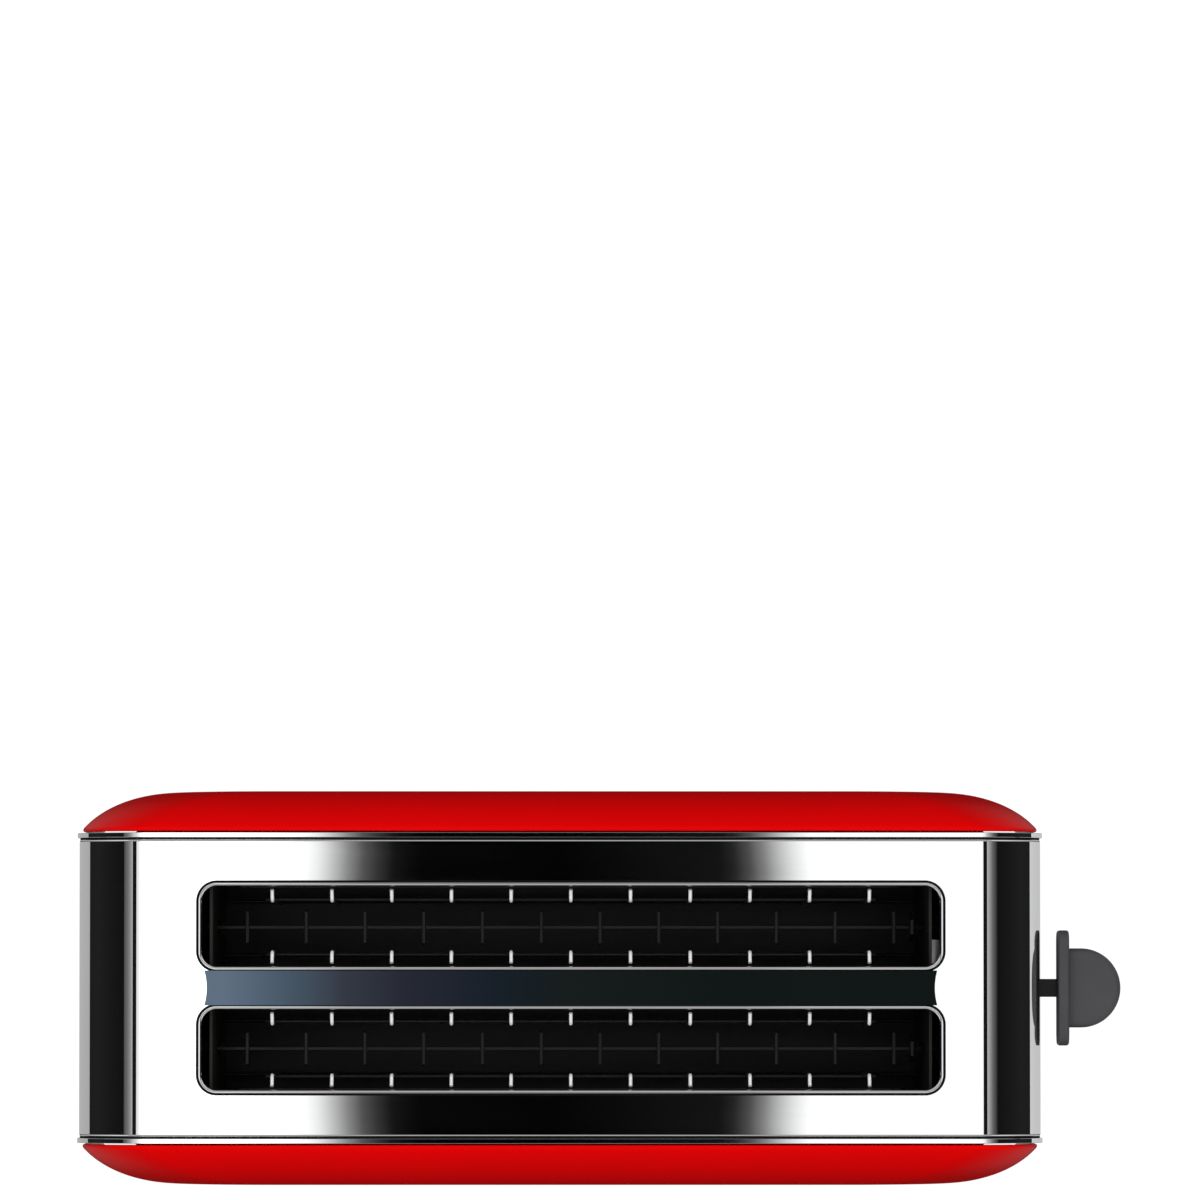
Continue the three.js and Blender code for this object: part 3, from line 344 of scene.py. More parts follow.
# %% [markdown]
# The visible steel is bright and polished along its length. Inside, the same kind of sheet is
# painted near black as painted shade deep in the slots, and so is the crumb tray. The panels are a
# deep red lacquer whose own reflections are red too, so it never washes out to pink. The knob and
# the base are satin mouldings.

# %% The finishes
# The two noises' scales and the grain's strength, on wire and on pressed sheet.
WIRE_GRAIN = (60, 1500, 0.06)
SHEET_GRAIN = (26, 1200, 0.12)
POLISHED = finish(
    "polished steel", (0.90, 0.905, 0.91, 1), 0.02, 0.01, 0.004, 30, 500, 0.002, (1, 12, 12), Metallic=1.0
)
LACQUER = finish(
    "red lacquer", (0.80, 0.0016, 0.0022, 1), 0.3, 0.02, 0.03, 9, 1600, 0.01,
    Metallic=0.1, Specular_IOR_Level=0.12, Specular_Tint=(1, 0.05, 0.05, 1),
)
GLOSS = finish("gloss black", linear(20, 25, 27), 0.08, 0.1, 0.02, 14, 700, 0.01, Specular_IOR_Level=0.25)
MOULDED = finish(
    "black moulding", linear(26, 27, 29), 0.5, 0.12, 0.05, 40, 2600, 0.25, Specular_IOR_Level=0.3
)
CHARCOAL = finish(
    "charcoal moulding", linear(66, 66, 69), 0.45, 0.08, 0.05, 60, 3200, 0.2, Specular_IOR_Level=0.3
)
RUBBER = finish("foot rubber", linear(30, 30, 31), 0.85, 0.2, 0.06, 60, 1800, 0.5)
PLATED = finish("plated steel", (0.50, 0.51, 0.52, 1), 0.36, 0.14, 0.1, *SHEET_GRAIN, Metallic=1.0)
# Painted shade: inner steel painted near black, so that the inside of the slots reads dark.
INNER_SHADE = finish(
    "steel painted dark as shade", (0.035, 0.033, 0.031, 1), 0.45, 0.3, 0.1, *SHEET_GRAIN, Metallic=0.8
)
# Painted shade: a near-black finish for the fine grooves beside the hems and round the slot rims.
GROOVE_SHADE = finish("painted groove shade", linear(16, 16, 17), 0.7, 0.2, 0.05, 60, 1500, 0.05, Specular_IOR_Level=0.05)
WIRE_STEEL = finish("bright wire", (0.86, 0.87, 0.88, 1), 0.28, 0.02, 0.05, *WIRE_GRAIN, Metallic=0.8)
GUARD_STEEL = finish("guard wire", (0.96, 0.965, 0.97, 1), 0.28, 0.02, 0.05, *WIRE_GRAIN, Metallic=0.15)
RACK_STEEL = finish("rack steel", (0.05, 0.048, 0.045, 1), 0.4, 0.2, 0.1, *WIRE_GRAIN, Metallic=0.8)
# Painted shade: the crumb tray is near black so the slot bottoms read dark from above.
TRAY_SHADE = finish(
    "tray painted dark as shade", (0.03, 0.03, 0.031, 1), 0.45, 0.05, 0.06, 8, 380, 0.1, (1, 16, 1), Metallic=0.7
)
MICA = finish("mica sheet", linear(96, 86, 66), 0.55, 0.22, 0.1, 34, 900, 0.3, (1, 1, 0.4))
NICHROME = finish(
    "oxidised ribbon", (0.10, 0.085, 0.075, 1), 0.42, 0.3, 0.1, 40, 1200, 0.2, Metallic=1.0
)
COPPER = finish(
    "enamelled winding", (0.62, 0.23, 0.08, 1), 0.3, 0.1, 0.05, 60, 2400, 0.3, (1, 1, 9), Metallic=1.0
)
CIRCUIT = finish("solder resist", linear(26, 92, 52), 0.35, 0.25, 0.08, 190, 2000, 0.1)
TERMINAL = finish("terminal moulding", linear(222, 216, 200), 0.5, 0.05, 0.05, 60, 2000, 0.15)
print("finishes:", len(bpy.data.materials))

# %% [markdown]
# Two finishes change over their pieces. The guards are bright at the mouth and painted darker
# further down, as painted shade deep in the slots, and the strip is a gloss moulding whose colour
# pales towards its left end as a painted reflection.


# %% A finish that changes along an axis
def ramp_over(tree, value, stops):
    """A colour ramp over a value, from (place, colour) stops. The colours are linear."""
    low, high = stops[0][0], stops[-1][0]
    share = output_of(tree, "ShaderNodeMapRange", {"Value": value, "From Min": low, "From Max": high})
    ramp = add_node(tree, "ShaderNodeValToRGB", {"Fac": share})
    elements = ramp.color_ramp.elements
    while len(elements) < len(stops):
        elements.new(0.5)
    for element, (position, colour) in zip(elements, stops):
        element.position = (position - low) / (high - low)
        element.color = (*colour, 1)
    return ramp.outputs["Color"]


def along(tree, axis, stops):
    """A colour ramp along an object's axis."""
    place = add_node(tree, "ShaderNodeTexCoord").outputs["Object"]
    return ramp_over(tree, add_node(tree, "ShaderNodeSeparateXYZ", {0: place}).outputs[axis], stops)


def colour_along(material, axis, stops):
    """Gives a finish a colour that changes along an axis."""
    tree = material.node_tree
    tree.links.new(along(tree, axis, stops), tree.nodes["Principled BSDF"].inputs["Base Color"])


def grey(level):
    """A grey as a colour."""
    return (level, level, level)


# Guard wire, by millimetres over the steel top: painted shade darkens it low down, bright at the mouth.
DEPTH_SHADE = [(-34, 0.02), (-16, 0.12), (-12, 0.98), (0, 0.98)]
colour_along(GUARD_STEEL, "Z", [(TOP + z * MM, grey(level)) for z, level in DEPTH_SHADE])

# The strip's colour is a painted reflection of the overhead card, paler at its left end.
STRIP_GLOSS = finish(
    "gloss with painted reflection", linear(16, 21, 25), 0.05, 0.1, 0.02, 14, 700, 0.004, Specular_IOR_Level=0.03
)
# Painted reflection on the gloss strip: its colour by millimetres from the wrap's middle, paler to the
# left.
PAINTED_REFLECTION = [
    (-139, (0.10, 0.14, 0.19)),
    (-114, (0.055, 0.085, 0.12)),
    (-89, (0.03, 0.036, 0.05)),
    (-64, (0.018, 0.02, 0.032)),
    (-27, (0.008, 0.013, 0.02)),
    (0, (0.008, 0.0115, 0.0115)),
    (123, (0.003, 0.0055, 0.0055)),
]
colour_along(STRIP_GLOSS, "X", [(MIDDLE + x * MM, tint) for x, tint in PAINTED_REFLECTION])


# %% Riding and replacing
def show(obj, finish_used, slot, body, *nodes):
    """Gives a piece its finish, its body and the solids that it stands for."""
    obj.data.materials.clear()
    obj.data.materials.append(finish_used)
    if nodes:
        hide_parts(*nodes)
    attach(obj, body)
    print(f"{obj.name}: {len(obj.data.polygons)} faces")
    return obj


# %% [markdown]
# ## The steel wrap
#
# The real wrap is one sheet, bent over a former at both ends, with its long edges folded into a
# flat hem beside a fine groove, and its two bread slots drawn down with a rolled rim. A hem runs
# round the bends, so the sheet is swept: a cross profile with a hem at each side goes along the
# bent path. The flat of the top is left out of the sweep and filled with the two slots in it.

# %% Sweep the wrap over its path
HEM_WIDTH = 2 * MM
HEM_DEPTH = 5 * MM
SHEET_ROLL = 0.8 * MM
GROOVE = 0.9 * MM
GROOVE_DEPTH = 0.3 * MM
BEND_STEPS = 28


def wrap_path():
    """Stations along the wrap, left skirt to right: place and outward normal in x and z."""
    stations = []
    for side, first_angle in ((-1, 180), (1, 90)):
        centre_x = MIDDLE + side * (HALF_LENGTH - BEND_RADIUS)
        for i in range(BEND_STEPS + 1):
            angle = math.radians(first_angle - 90 * i / BEND_STEPS)
            nx, nz = math.cos(angle), math.sin(angle)
            stations.append((centre_x + BEND_RADIUS * nx, TOP - BEND_RADIUS + BEND_RADIUS * nz, nx, nz))
    skirts = [(x, SKIRT, nx, nz) for x, _, nx, nz in (stations[0], stations[-1])]
    return [skirts[0], *stations, skirts[1]]


def wrap_profile():
    """The wrap across its width, as offset along y and lift: fold, flat hem, groove and sheet."""
    fold, ease = 0.15 * MM, 0.12 * MM
    inner = -HALF_BAND + HEM_WIDTH
    hem = arc(-HALF_BAND + fold, HEM_PROUD - fold, fold, fold, 180, 90, 6)
    hem += arc(inner - ease, HEM_PROUD - ease, ease, ease, 90, 0, 3)
    hem += [(inner, -GROOVE_DEPTH), (inner + GROOVE, -GROOVE_DEPTH)]
    edge, turns = inner + GROOVE, [math.radians(a) for a in (50, 40, 30, 20, 10, 0)]
    roll = [(edge + SHEET_ROLL * (1 - math.sin(a)), SHEET_ROLL * (math.cos(a) - 1)) for a in turns]
    side = [(-HALF_BAND, -HEM_DEPTH)] + hem + roll
    return side + [(-y, n) for y, n in reversed(side)]


bm = bmesh.new()
profile = wrap_profile()
path = wrap_path()
stations = [add_ring(bm, [(x + n * nx, y, z + n * nz) for y, n in profile]) for x, z, nx, nz in path]
sheet_edge = len(profile) // 2 - 1
flat_start = 1 + BEND_STEPS
for s, (ring_a, ring_b) in enumerate(zip(stations, stations[1:])):
    for i in range(len(profile) - 1):
        if not (s == flat_start and i == sheet_edge):
            bm.faces.new((ring_a[i], ring_a[i + 1], ring_b[i + 1], ring_b[i]))
print("wrap stations:", len(stations), "points across:", len(profile))

# %% [markdown]
# A slot's rim rises 0.8 mm out of a fine groove in the sheet, rolls over and runs down into the
# slot as a flange. Its rings are the slot's outline grown by the bead's own section.

# %% Fill the top and draw the slots down
SLOT_RIM = 1.5 * MM
RIM_PROUD = 0.8 * MM
RIM_DEPTH = 6 * MM
SLOT_WIDTH = 33 * MM
SLOT_CORNER = 6 * MM
SHELL = 0.5 * MM
slot_left = strip_low.x - 1 * MM
slot_right = strip_high.x + 1 * MM
slot_inner = (strip_high.y + FIT) + SLOT_RIM
slot_rows = {"front": -slot_inner - SLOT_WIDTH / 2, "rear": slot_inner + SLOT_WIDTH / 2}


def rim_section():
    """The rim's stations, from the groove in the sheet over the bead and down into the slot."""
    bead = SLOT_RIM - 0.25 * MM
    ledge = SLOT_RIM + GROOVE
    section = [(ledge + 0.1 * MM, 0), (ledge, -0.1 * MM), (ledge, -GROOVE_DEPTH), (SLOT_RIM, -GROOVE_DEPTH)]
    section += [(SLOT_RIM, RIM_PROUD - 0.2 * MM), (SLOT_RIM - 0.07 * MM, RIM_PROUD - 0.05 * MM)]
    section += arc(bead, RIM_PROUD - bead, bead, bead, 90, 180, 12)
    section += [(0, -RIM_DEPTH + 0.4 * MM), (0.3 * MM, -RIM_DEPTH)]
    return [(grow, TOP + lift) for grow, lift in section]


def slot_outline(y):
    """The mouth of the slot in one row."""
    half = SLOT_WIDTH / 2
    return rounded_rect(slot_left, slot_right, y - half, y + half, SLOT_CORNER, 10)


holes = [loft(bm, stack(slot_outline(y), "z", rim_section()))[0] for y in slot_rows.values()]
ring_a, ring_b = stations[flat_start], stations[flat_start + 1]
outer = [ring_a[sheet_edge], ring_b[sheet_edge], ring_b[sheet_edge + 1], ring_a[sheet_edge + 1]]
fill_flat(bm, outer, holes)
wrap = object_from("steel_shell", bm)
thicken(wrap, SHELL)
print("slot centres at", [round(1000 * y, 2) for y in slot_rows.values()], "mm")

# %% [markdown]
# The lever end has an obround window for the control panel, whose top is where the bend starts.
# The wall there is already swept, so a boolean cut is simpler than leaving a hole: the cutter is
# one closed obround bar.

# %% Cut the window for the control panel
control_low, control_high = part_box("control_panel")
FLANGE = 1.5 * MM
CONTROL_RADIUS = (control_high.y - control_low.y) / 2 - FLANGE
control_outline = rounded_rect(
    -CONTROL_RADIUS,
    CONTROL_RADIUS,
    control_low.z + FLANGE,
    control_high.z - FLANGE,
    CONTROL_RADIUS - 0.01 * MM,
    20,
)


def closed_bar(name, outline, axis, stations):
    """A closed bar along an axis through the stations of one outline."""
    bm = bmesh.new()
    rings = loft(bm, stack(outline, axis, stations))
    bm.faces.new(rings[0])
    bm.faces.new(rings[-1])
    return object_from(name, bm, PLANES[axis](0, 0, 1))


CLEAR = 5 * MM
ends = [(FIT, control_low.x - CLEAR), (FIT, control_high.x + CLEAR)]
combine(wrap, closed_bar("window", control_outline, "x", ends), "DIFFERENCE")
polish(wrap, 30)
show(wrap, POLISHED, "polished_steel", "housing", "steel_wrap")
groove_y = HALF_BAND - HEM_WIDTH


def in_groove(face):
    """Whether a face lies in the groove beside a hem or round a slot's rim."""
    beside_hem = groove_y - GROOVE < abs(face.center.y) < groove_y - 0.01 * MM
    at_depth = abs(face.center.z - TOP + GROOVE_DEPTH) < 0.1 * MM and face.normal.z > 0.5
    return beside_hem or (at_depth and abs(face.center.y) < groove_y - 2 * MM)


# The groove faces take the near-black finish as painted shade.
wrap.data.materials.append(GROOVE_SHADE)
for face in wrap.data.polygons:
    face.material_index = int(in_groove(face))
print("groove faces:", sum(face.material_index for face in wrap.data.polygons))

# %% [markdown]
# ## The side panels
#
# Each panel is pressed like a pillow: from the seam it follows the last part of an ellipse in
# plan, and the same turn draws its top down and its corners in. So one turn makes every ring, and
# the flat face is the last ring filled. The edge at the seam rolls in over a small radius, which
# leaves a fine dark line beside the steel.

# %% Press the panels
PANEL_SETBACK = 0.4 * MM
PANEL_REACH = 40 * MM
PANEL_DROP = 34 * MM
PANEL_SOFTEN = 14 * MM
PANEL_START = 0.466
PANEL_EDGE = 2 * MM
PANEL_SHEET = 1 * MM
PANEL_LAYERS = 30
EDGE_STEPS = 8
seam = panel_low.y
bulge = panel_high.y - panel_low.y


def drawn_in(turn):
    """How much of the panel's whole reach its corners are drawn in at a turn."""
    return 1 - math.cos(turn) / math.cos(PANEL_START)


def reached_out(turn):
    """How much of the panel's whole bulge it has come out at a turn."""
    return (math.sin(turn) - math.sin(PANEL_START)) / (1 - math.sin(PANEL_START))


def turn_at(out):
    """The turn at which the panel stands some distance out from the seam."""
    return math.asin(math.sin(PANEL_START) + (1 - math.sin(PANEL_START)) * out / bulge)


def panel_outline(turn, shrink):
    """The panel's outline in x and z at a turn in radians, less some distance."""
    tuck = drawn_in(turn)
    half = HALF_LENGTH - PANEL_SETBACK - shrink - PANEL_REACH * tuck
    top = TOP - PANEL_SETBACK - shrink - PANEL_DROP * tuck
    radius = BEND_RADIUS - PANEL_SETBACK - shrink + PANEL_SOFTEN * tuck
    right = arc(MIDDLE + half - radius, top - radius, radius, radius, 0, 90, 18)
    left = arc(MIDDLE - half + radius, top - radius, radius, radius, 90, 180, 18)
    return [(MIDDLE - half, SKIRT), (MIDDLE + half, SKIRT)] + right + left


def panel(name, side):
    """A domed panel on one side, +1 for the rear."""
    roll = [math.pi / 2 * i / EDGE_STEPS for i in range(EDGE_STEPS)]
    edge = [(PANEL_EDGE * (1 - math.sin(a)), PANEL_EDGE * (1 - math.cos(a))) for a in roll]
    first = turn_at(PANEL_EDGE)
    turns = [first + (math.pi / 2 - first) * i / PANEL_LAYERS for i in range(PANEL_LAYERS + 1)]
    plan = [(turn_at(out), shrink, out) for shrink, out in edge]
    plan += [(turn, 0, bulge * reached_out(turn)) for turn in turns]
    bm = bmesh.new()
    rings = []
    for turn, shrink, out in plan:
        rings.append([(x, side * (seam + out), z) for x, z in panel_outline(turn, shrink)])
    bm.faces.new(loft(bm, rings)[-1])
    floor = [f for f in bm.faces if all(abs(v.co.z - SKIRT) < 1e-7 for v in f.verts)]
    bmesh.ops.delete(bm, geom=floor, context="FACES")
    return thicken(object_from(name, bm, Vector((0, side, 0))), PANEL_SHEET)


for name, side in (("front", -1), ("rear", 1)):
    shell = polish(panel(f"side_panel_{name}", side), 40)
    show(shell, LACQUER, "red_enamel", "housing", f"panel_{name}")
print(f"panels stand {1000 * bulge:.1f} mm proud of the seam")

# %% [markdown]
# ## The strip between the slots
#
# A gloss moulding lies between the two rims, with slightly hollowed ends; its colour is a painted
# reflection that pales towards its left end. It is an outline with two shallow arcs, raised
# through four stations so that its top edge is eased.

# %% Lay the strip
STRIP_BOW = 1 * MM


def strip_outline(grow):
    """The strip from above, with ends that curve in towards its middle."""
    half = strip_high.y + grow
    steps = 16
    spans = [-1 + 2 * i / steps for i in range(steps + 1)]
    right = [(strip_high.x + grow - STRIP_BOW * (1 - t * t), half * t) for t in spans]
    left = [(strip_low.x - grow + STRIP_BOW * (1 - t * t), -half * t) for t in spans]
    return right + left


ease, halfway = 0.3 * MM, 0.09 * MM
stations = [(0, strip_low.z), (0, strip_high.z - ease)]
stations += [(-halfway, strip_high.z - halfway), (-ease, strip_high.z)]
strip = polish(closed_bar("slot_strip", strip_outline, "z", stations), 50)
show(strip, STRIP_GLOSS, "gloss_black", "housing", "centre_strip")

# %% [markdown]
# ## The base
#
# The base is a moulded tub that shows as a dark plinth under the shells. Its corners follow the
# panels'. Vents run along both sides of its floor, and Geometry Nodes are the natural maker for
# a row: one slot, set down at every step of a line.


# %% Geometry Nodes helpers
def new_tree(name, inputs):
    """A node tree with a host shape and named inputs, as label: kind, with its two end nodes."""
    tree = bpy.data.node_groups.new(name, "GeometryNodeTree")
    tree.interface.new_socket("Geometry", in_out="OUTPUT", socket_type="NodeSocketGeometry")
    tree.interface.new_socket("Host", in_out="INPUT", socket_type="NodeSocketGeometry")
    for label, kind in {**inputs, "Finish": "Material"}.items():
        tree.interface.new_socket(label, in_out="INPUT", socket_type=f"NodeSocket{kind}")
    return tree, tree.nodes.new("NodeGroupInput").outputs, tree.nodes.new("NodeGroupOutput").inputs


def close_tree(tree, geometry, given, result):
    """Ends a tree in real geometry with its finish."""
    real = output_of(tree, "GeometryNodeRealizeInstances", {"Geometry": geometry})
    painted = output_of(tree, "GeometryNodeSetMaterial", {"Geometry": real, "Material": given["Finish"]})
    tree.links.new(painted, result["Geometry"])


def row_of(tree, count, step):
    """Points in a row from the origin."""
    return output_of(tree, "GeometryNodeMeshLine", {"Count": count, "Offset": step})


def copied_to(tree, points, shape, **more):
    """A copy of a shape at every point."""
    return output_of(tree, "GeometryNodeInstanceOnPoints", {"Points": points, "Instance": shape, **more})


def moved_to(tree, geometry, place):
    """Geometry moved from the origin to a place."""
    return output_of(tree, "GeometryNodeTransform", {"Geometry": geometry, "Translation": place})


def wired(tree, curve, radius):
    """A curve with a wire's round section and closed ends."""
    section = output_of(tree, "GeometryNodeCurvePrimitiveCircle", {"Resolution": 10, "Radius": radius})
    inputs = {"Curve": curve, "Profile Curve": section, "Fill Caps": True}
    return output_of(tree, "GeometryNodeCurveToMesh", inputs)


def run_tree(name, tree, host=None, **values):
    """Runs a tree on a host object, which is used up, or on nothing, and returns a plain object."""
    made = host or bpy.data.objects.new(name, bpy.data.meshes.new(name))
    made.name = name
    if host is None:
        bpy.context.scene.collection.objects.link(made)
    modifier = made.modifiers.new("nodes", "NODES")
    modifier.node_group = tree
    sockets = {item.name: item.identifier for item in tree.interface.items_tree if item.in_out == "INPUT"}
    for label, value in values.items():
        modifier[sockets[label.replace("_", " ")]] = value
    return settle(made)


# %% A row of one shape
row_tree, given, result = new_tree("row", {"Count": "Int", "Step": "Vector"})
line = row_of(row_tree, given["Count"], given["Step"])
close_tree(row_tree, copied_to(row_tree, line, given["Host"]), given, result)
print("trees:", len(bpy.data.node_groups))

# %% Mould the tub
VENT_PITCH = 20 * MM
VENT_COUNT = 13
VENT_WIDTH = 3.2 * MM
VENT_LENGTH = 9 * MM
BASE_INSET = 7 * MM
BASE_FLOOR = 2.5 * MM
BASE_WALL = 2 * MM
BOTTOM_EDGE = 1.2 * MM
RAIL = 2 * MM
PAST = 1 * MM  # how far a cutter or a root reaches past a face
floor_z = base_low.z + BASE_FLOOR
tray_low, tray_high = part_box("crumb_tray")
rail_y = tray_high.y + RUN


def base_outline(grow):
    """The base from above: flat ends, and corners that follow the panels' own turn."""
    turns = [PANEL_START + (math.pi / 2 - PANEL_START) * i / 16 for i in range(17)]
    half, flank = HALF_LENGTH - BASE_INSET + grow, seam - BASE_INSET + grow
    corner = [(half - PANEL_REACH * drawn_in(t), flank + bulge * reached_out(t)) for t in turns]
    end = [(x, -y) for x, y in reversed(corner)] + corner
    return [(MIDDLE + side * x, side * y) for side in (1, -1) for x, y in end]


inside = [(-BASE_WALL, base_high.z), (-BASE_WALL, floor_z)]
stations = quarter_edge(BOTTOM_EDGE, base_low.z) + [(0, base_high.z)] + inside
tub = closed_bar("base_tub", base_outline, "z", stations)
door = rounded_rect(-rail_y, rail_y, floor_z, base_high.z + 4 * MM, 0.5 * MM)
door_reach = MIDDLE - HALF_LENGTH + BASE_INSET + BASE_WALL + PAST
combine(tub, closed_bar("door", door, "x", [(0, wrap_low.x), (0, door_reach)]), "DIFFERENCE")
for side in (-1, 1):
    x, y = MIDDLE - VENT_PITCH * (VENT_COUNT - 1) / 2, side * (seam - 5 * MM)
    half_x, half_y = VENT_WIDTH / 2, VENT_LENGTH / 2
    vent = rounded_rect(x - half_x, x + half_x, y - half_y, y + half_y, half_x - 0.01 * MM)
    one = closed_bar("vent", vent, "z", [(0, base_low.z - PAST), (0, floor_z + PAST)])
    cutters = run_tree("vents", row_tree, one, Count=VENT_COUNT, Step=(VENT_PITCH, 0, 0), Finish=MOULDED)
    combine(tub, cutters, "DIFFERENCE")
print("vents:", 2 * VENT_COUNT)

# %% [markdown]
# Inside the tub stand the two rails that the crumb tray slides between, the boss for the lift
# rod and the two slotted posts for the control board. Each is a bar sunk a little into the
# floor, so that the join is a clean union.

# %% Rails, boss and posts
BOSS_WALL = 3 * MM
BOSS_RISE = 6 * MM
RAIL_SETBACK = 0.5 * MM
POST_Y = 20 * MM
POST_HALF = 2 * MM
POST_SIDE = 3 * MM
rod_low, rod_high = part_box("guide_rod")
board_low, board_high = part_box("control_board")
root = floor_z - PAST


def block(name, x0, x1, y0, y1, z0, z1, edge=0.3 * MM):
    """A bar with eased upright edges and an eased top."""
    turns = (0, 0.5, 1.05, 1.57)
    top = [(-edge * (1 - math.cos(a)), z1 - edge * (1 - math.sin(a))) for a in turns]
    return closed_bar(name, rounded_rect(x0, x1, y0, y1, edge, 3), "z", [(0, z0)] + top)


for side in (-1, 1):
    near, far = sorted((side * rail_y, side * (rail_y + RAIL)))
    start = MIDDLE - HALF_LENGTH + BASE_INSET + RAIL_SETBACK
    combine(tub, block("rail", start, tray_high.x + PAST, near, far, root, tray_high.z + RUN), "UNION")
rod_x, rod_y, _ = centre_of("guide_rod")
rod_radius = (rod_high.x - rod_low.x) / 2
boss = circle(rod_x, rod_y, rod_radius + BOSS_WALL)
combine(tub, closed_bar("boss", boss, "z", [(0, root), (0, floor_z + BOSS_RISE)]), "UNION")
bore = circle(rod_x, rod_y, rod_radius + FIT)
combine(tub, closed_bar("bore", bore, "z", [(0, floor_z), (0, base_high.z)]), "DIFFERENCE")
for y in (-POST_Y, POST_Y):
    left, right = board_low.x - POST_SIDE, board_high.x + POST_SIDE
    post = block("post", left, right, y - POST_HALF, y + POST_HALF, root, base_high.z)
    left, right, reach = board_low.x - FIT, board_high.x + FIT, POST_HALF + PAST
    slot = block("slot", left, right, y - reach, y + reach, board_low.z - FIT, TOP)
    combine(tub, combine(post, slot, "DIFFERENCE"), "UNION")

# %% Holes for the feet, the screws and the cord sleeve
gland_x, _, gland_z = centre_of("cord_gland")
GLAND_RADIUS = 5 * MM
FOOT_STEM = 3 * MM
SCREW_RADIUS = 1.9 * MM
CORNERS = (1, 2, 3, 4)
through_floor = [(0, base_low.z - PAST), (0, floor_z + PAST)]
for number in CORNERS:
    for node, radius in ((f"foot_{number}", FOOT_STEM), (f"base_screw_{number}", SCREW_RADIUS)):
        x, y, _ = centre_of(node)
        combine(tub, closed_bar("hole", circle(x, y, radius + FIT), "z", through_floor), "DIFFERENCE")
gland_hole = circle(gland_x, gland_z, GLAND_RADIUS + FIT)
combine(tub, closed_bar("hole", gland_hole, "y", [(0, HALF_BAND), (0, panel_high.y)]), "DIFFERENCE")
polish(tub, 35)
show(tub, MOULDED, "black_plastic", "housing", "base")

# %% [markdown]
# ## Feet, screws and the cord sleeve
#
# These are turned shapes: one profile spun about its own axis. A profile that ends on the axis
# closes in a point, and one that never reaches it closes on itself as a ring.


# %% A lathe
def turned(name, profile, place, axis="z", steps=48):
    """Spins (radius, height) pairs about an axis through a place."""
    bm = bmesh.new()
    loops = []
    for radius, height in profile:
        count = steps if radius > 1e-9 else 1
        angles = [2 * math.pi * i / count for i in range(count)]
        points = [PLANES[axis](radius * math.cos(a), radius * math.sin(a), height) for a in angles]
        loops.append(add_ring(bm, [Vector(place) + p for p in points]))
    if len(loops[0]) > 1:
        loops.append(loops[0])
    for ring_a, ring_b in zip(loops, loops[1:]):
        if len(ring_a) == len(ring_b):
            bridge(bm, ring_a, ring_b)
            continue
        pole, ring = (ring_a, ring_b) if len(ring_a) == 1 else (ring_b, ring_a)
        for i in range(len(ring)):
            bm.faces.new((pole[0], ring[i], ring[(i + 1) % len(ring)]))
    return object_from(name, bm, PLANES[axis](0, 0, 1))


def rounded(profile, radii, steps=4):
    """Rounds the inner corners of a profile, each by its own radius."""
    points = [Vector(p) for p in profile]
    made = [tuple(points[0])]
    for before, corner, after, radius in zip(points, points[1:], points[2:], radii):
        if radius == 0:
            made.append(tuple(corner))
            continue
        start = corner + (before - corner).normalized() * radius
        end = corner + (after - corner).normalized() * radius
        for i in range(steps + 1):
            t = i / steps
            made.append(tuple((1 - t) ** 2 * start + 2 * t * (1 - t) * corner + t**2 * end))
    return made + [tuple(points[-1])]


# %% Four feet
foot_low, foot_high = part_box("foot_1")
FOOT_RADIUS = (foot_high.x - foot_low.x) / 2
TREAD_RISE = 0.5 * MM  # hollow under the foot, inside the ring that it stands on
tread = FOOT_RADIUS - 4 * MM
under_base = base_low.z - FIT
profile = rounded(
    [
        (0, TREAD_RISE), (tread, TREAD_RISE), (tread - 0.6 * MM, 0), (FOOT_RADIUS - 1.2 * MM, 0),
        (FOOT_RADIUS, under_base), (FOOT_STEM, under_base), (FOOT_STEM, foot_high.z), (0, foot_high.z),
    ],
    [0.2 * MM, 0.2 * MM, 0.8 * MM, 0.7 * MM, 0, 0.6 * MM],
)
for number in CORNERS:
    x, y, _ = centre_of(f"foot_{number}")
    foot = turned(f"rubber_foot_{number}", profile, (x, y, 0))
    show(polish(foot, 40), RUBBER, "rubber", "housing", f"foot_{number}")

# %% [markdown]
# Four equal screws stand at the corners of a rectangle, so one is made at the origin and a grid
# of two by two points sets it down. The four become one piece, since they never move apart.

# %% Four base screws
GRID_INPUTS = {"Size X": "Float", "Size Y": "Float", "Centre": "Vector"}
grid_tree, given, result = new_tree("four corners", GRID_INPUTS)
sizes = {"Size X": given["Size X"], "Size Y": given["Size Y"], "Vertices X": 2, "Vertices Y": 2}
grid = moved_to(grid_tree, output_of(grid_tree, "GeometryNodeMeshGrid", sizes), given["Centre"])
close_tree(grid_tree, copied_to(grid_tree, grid, given["Host"]), given, result)

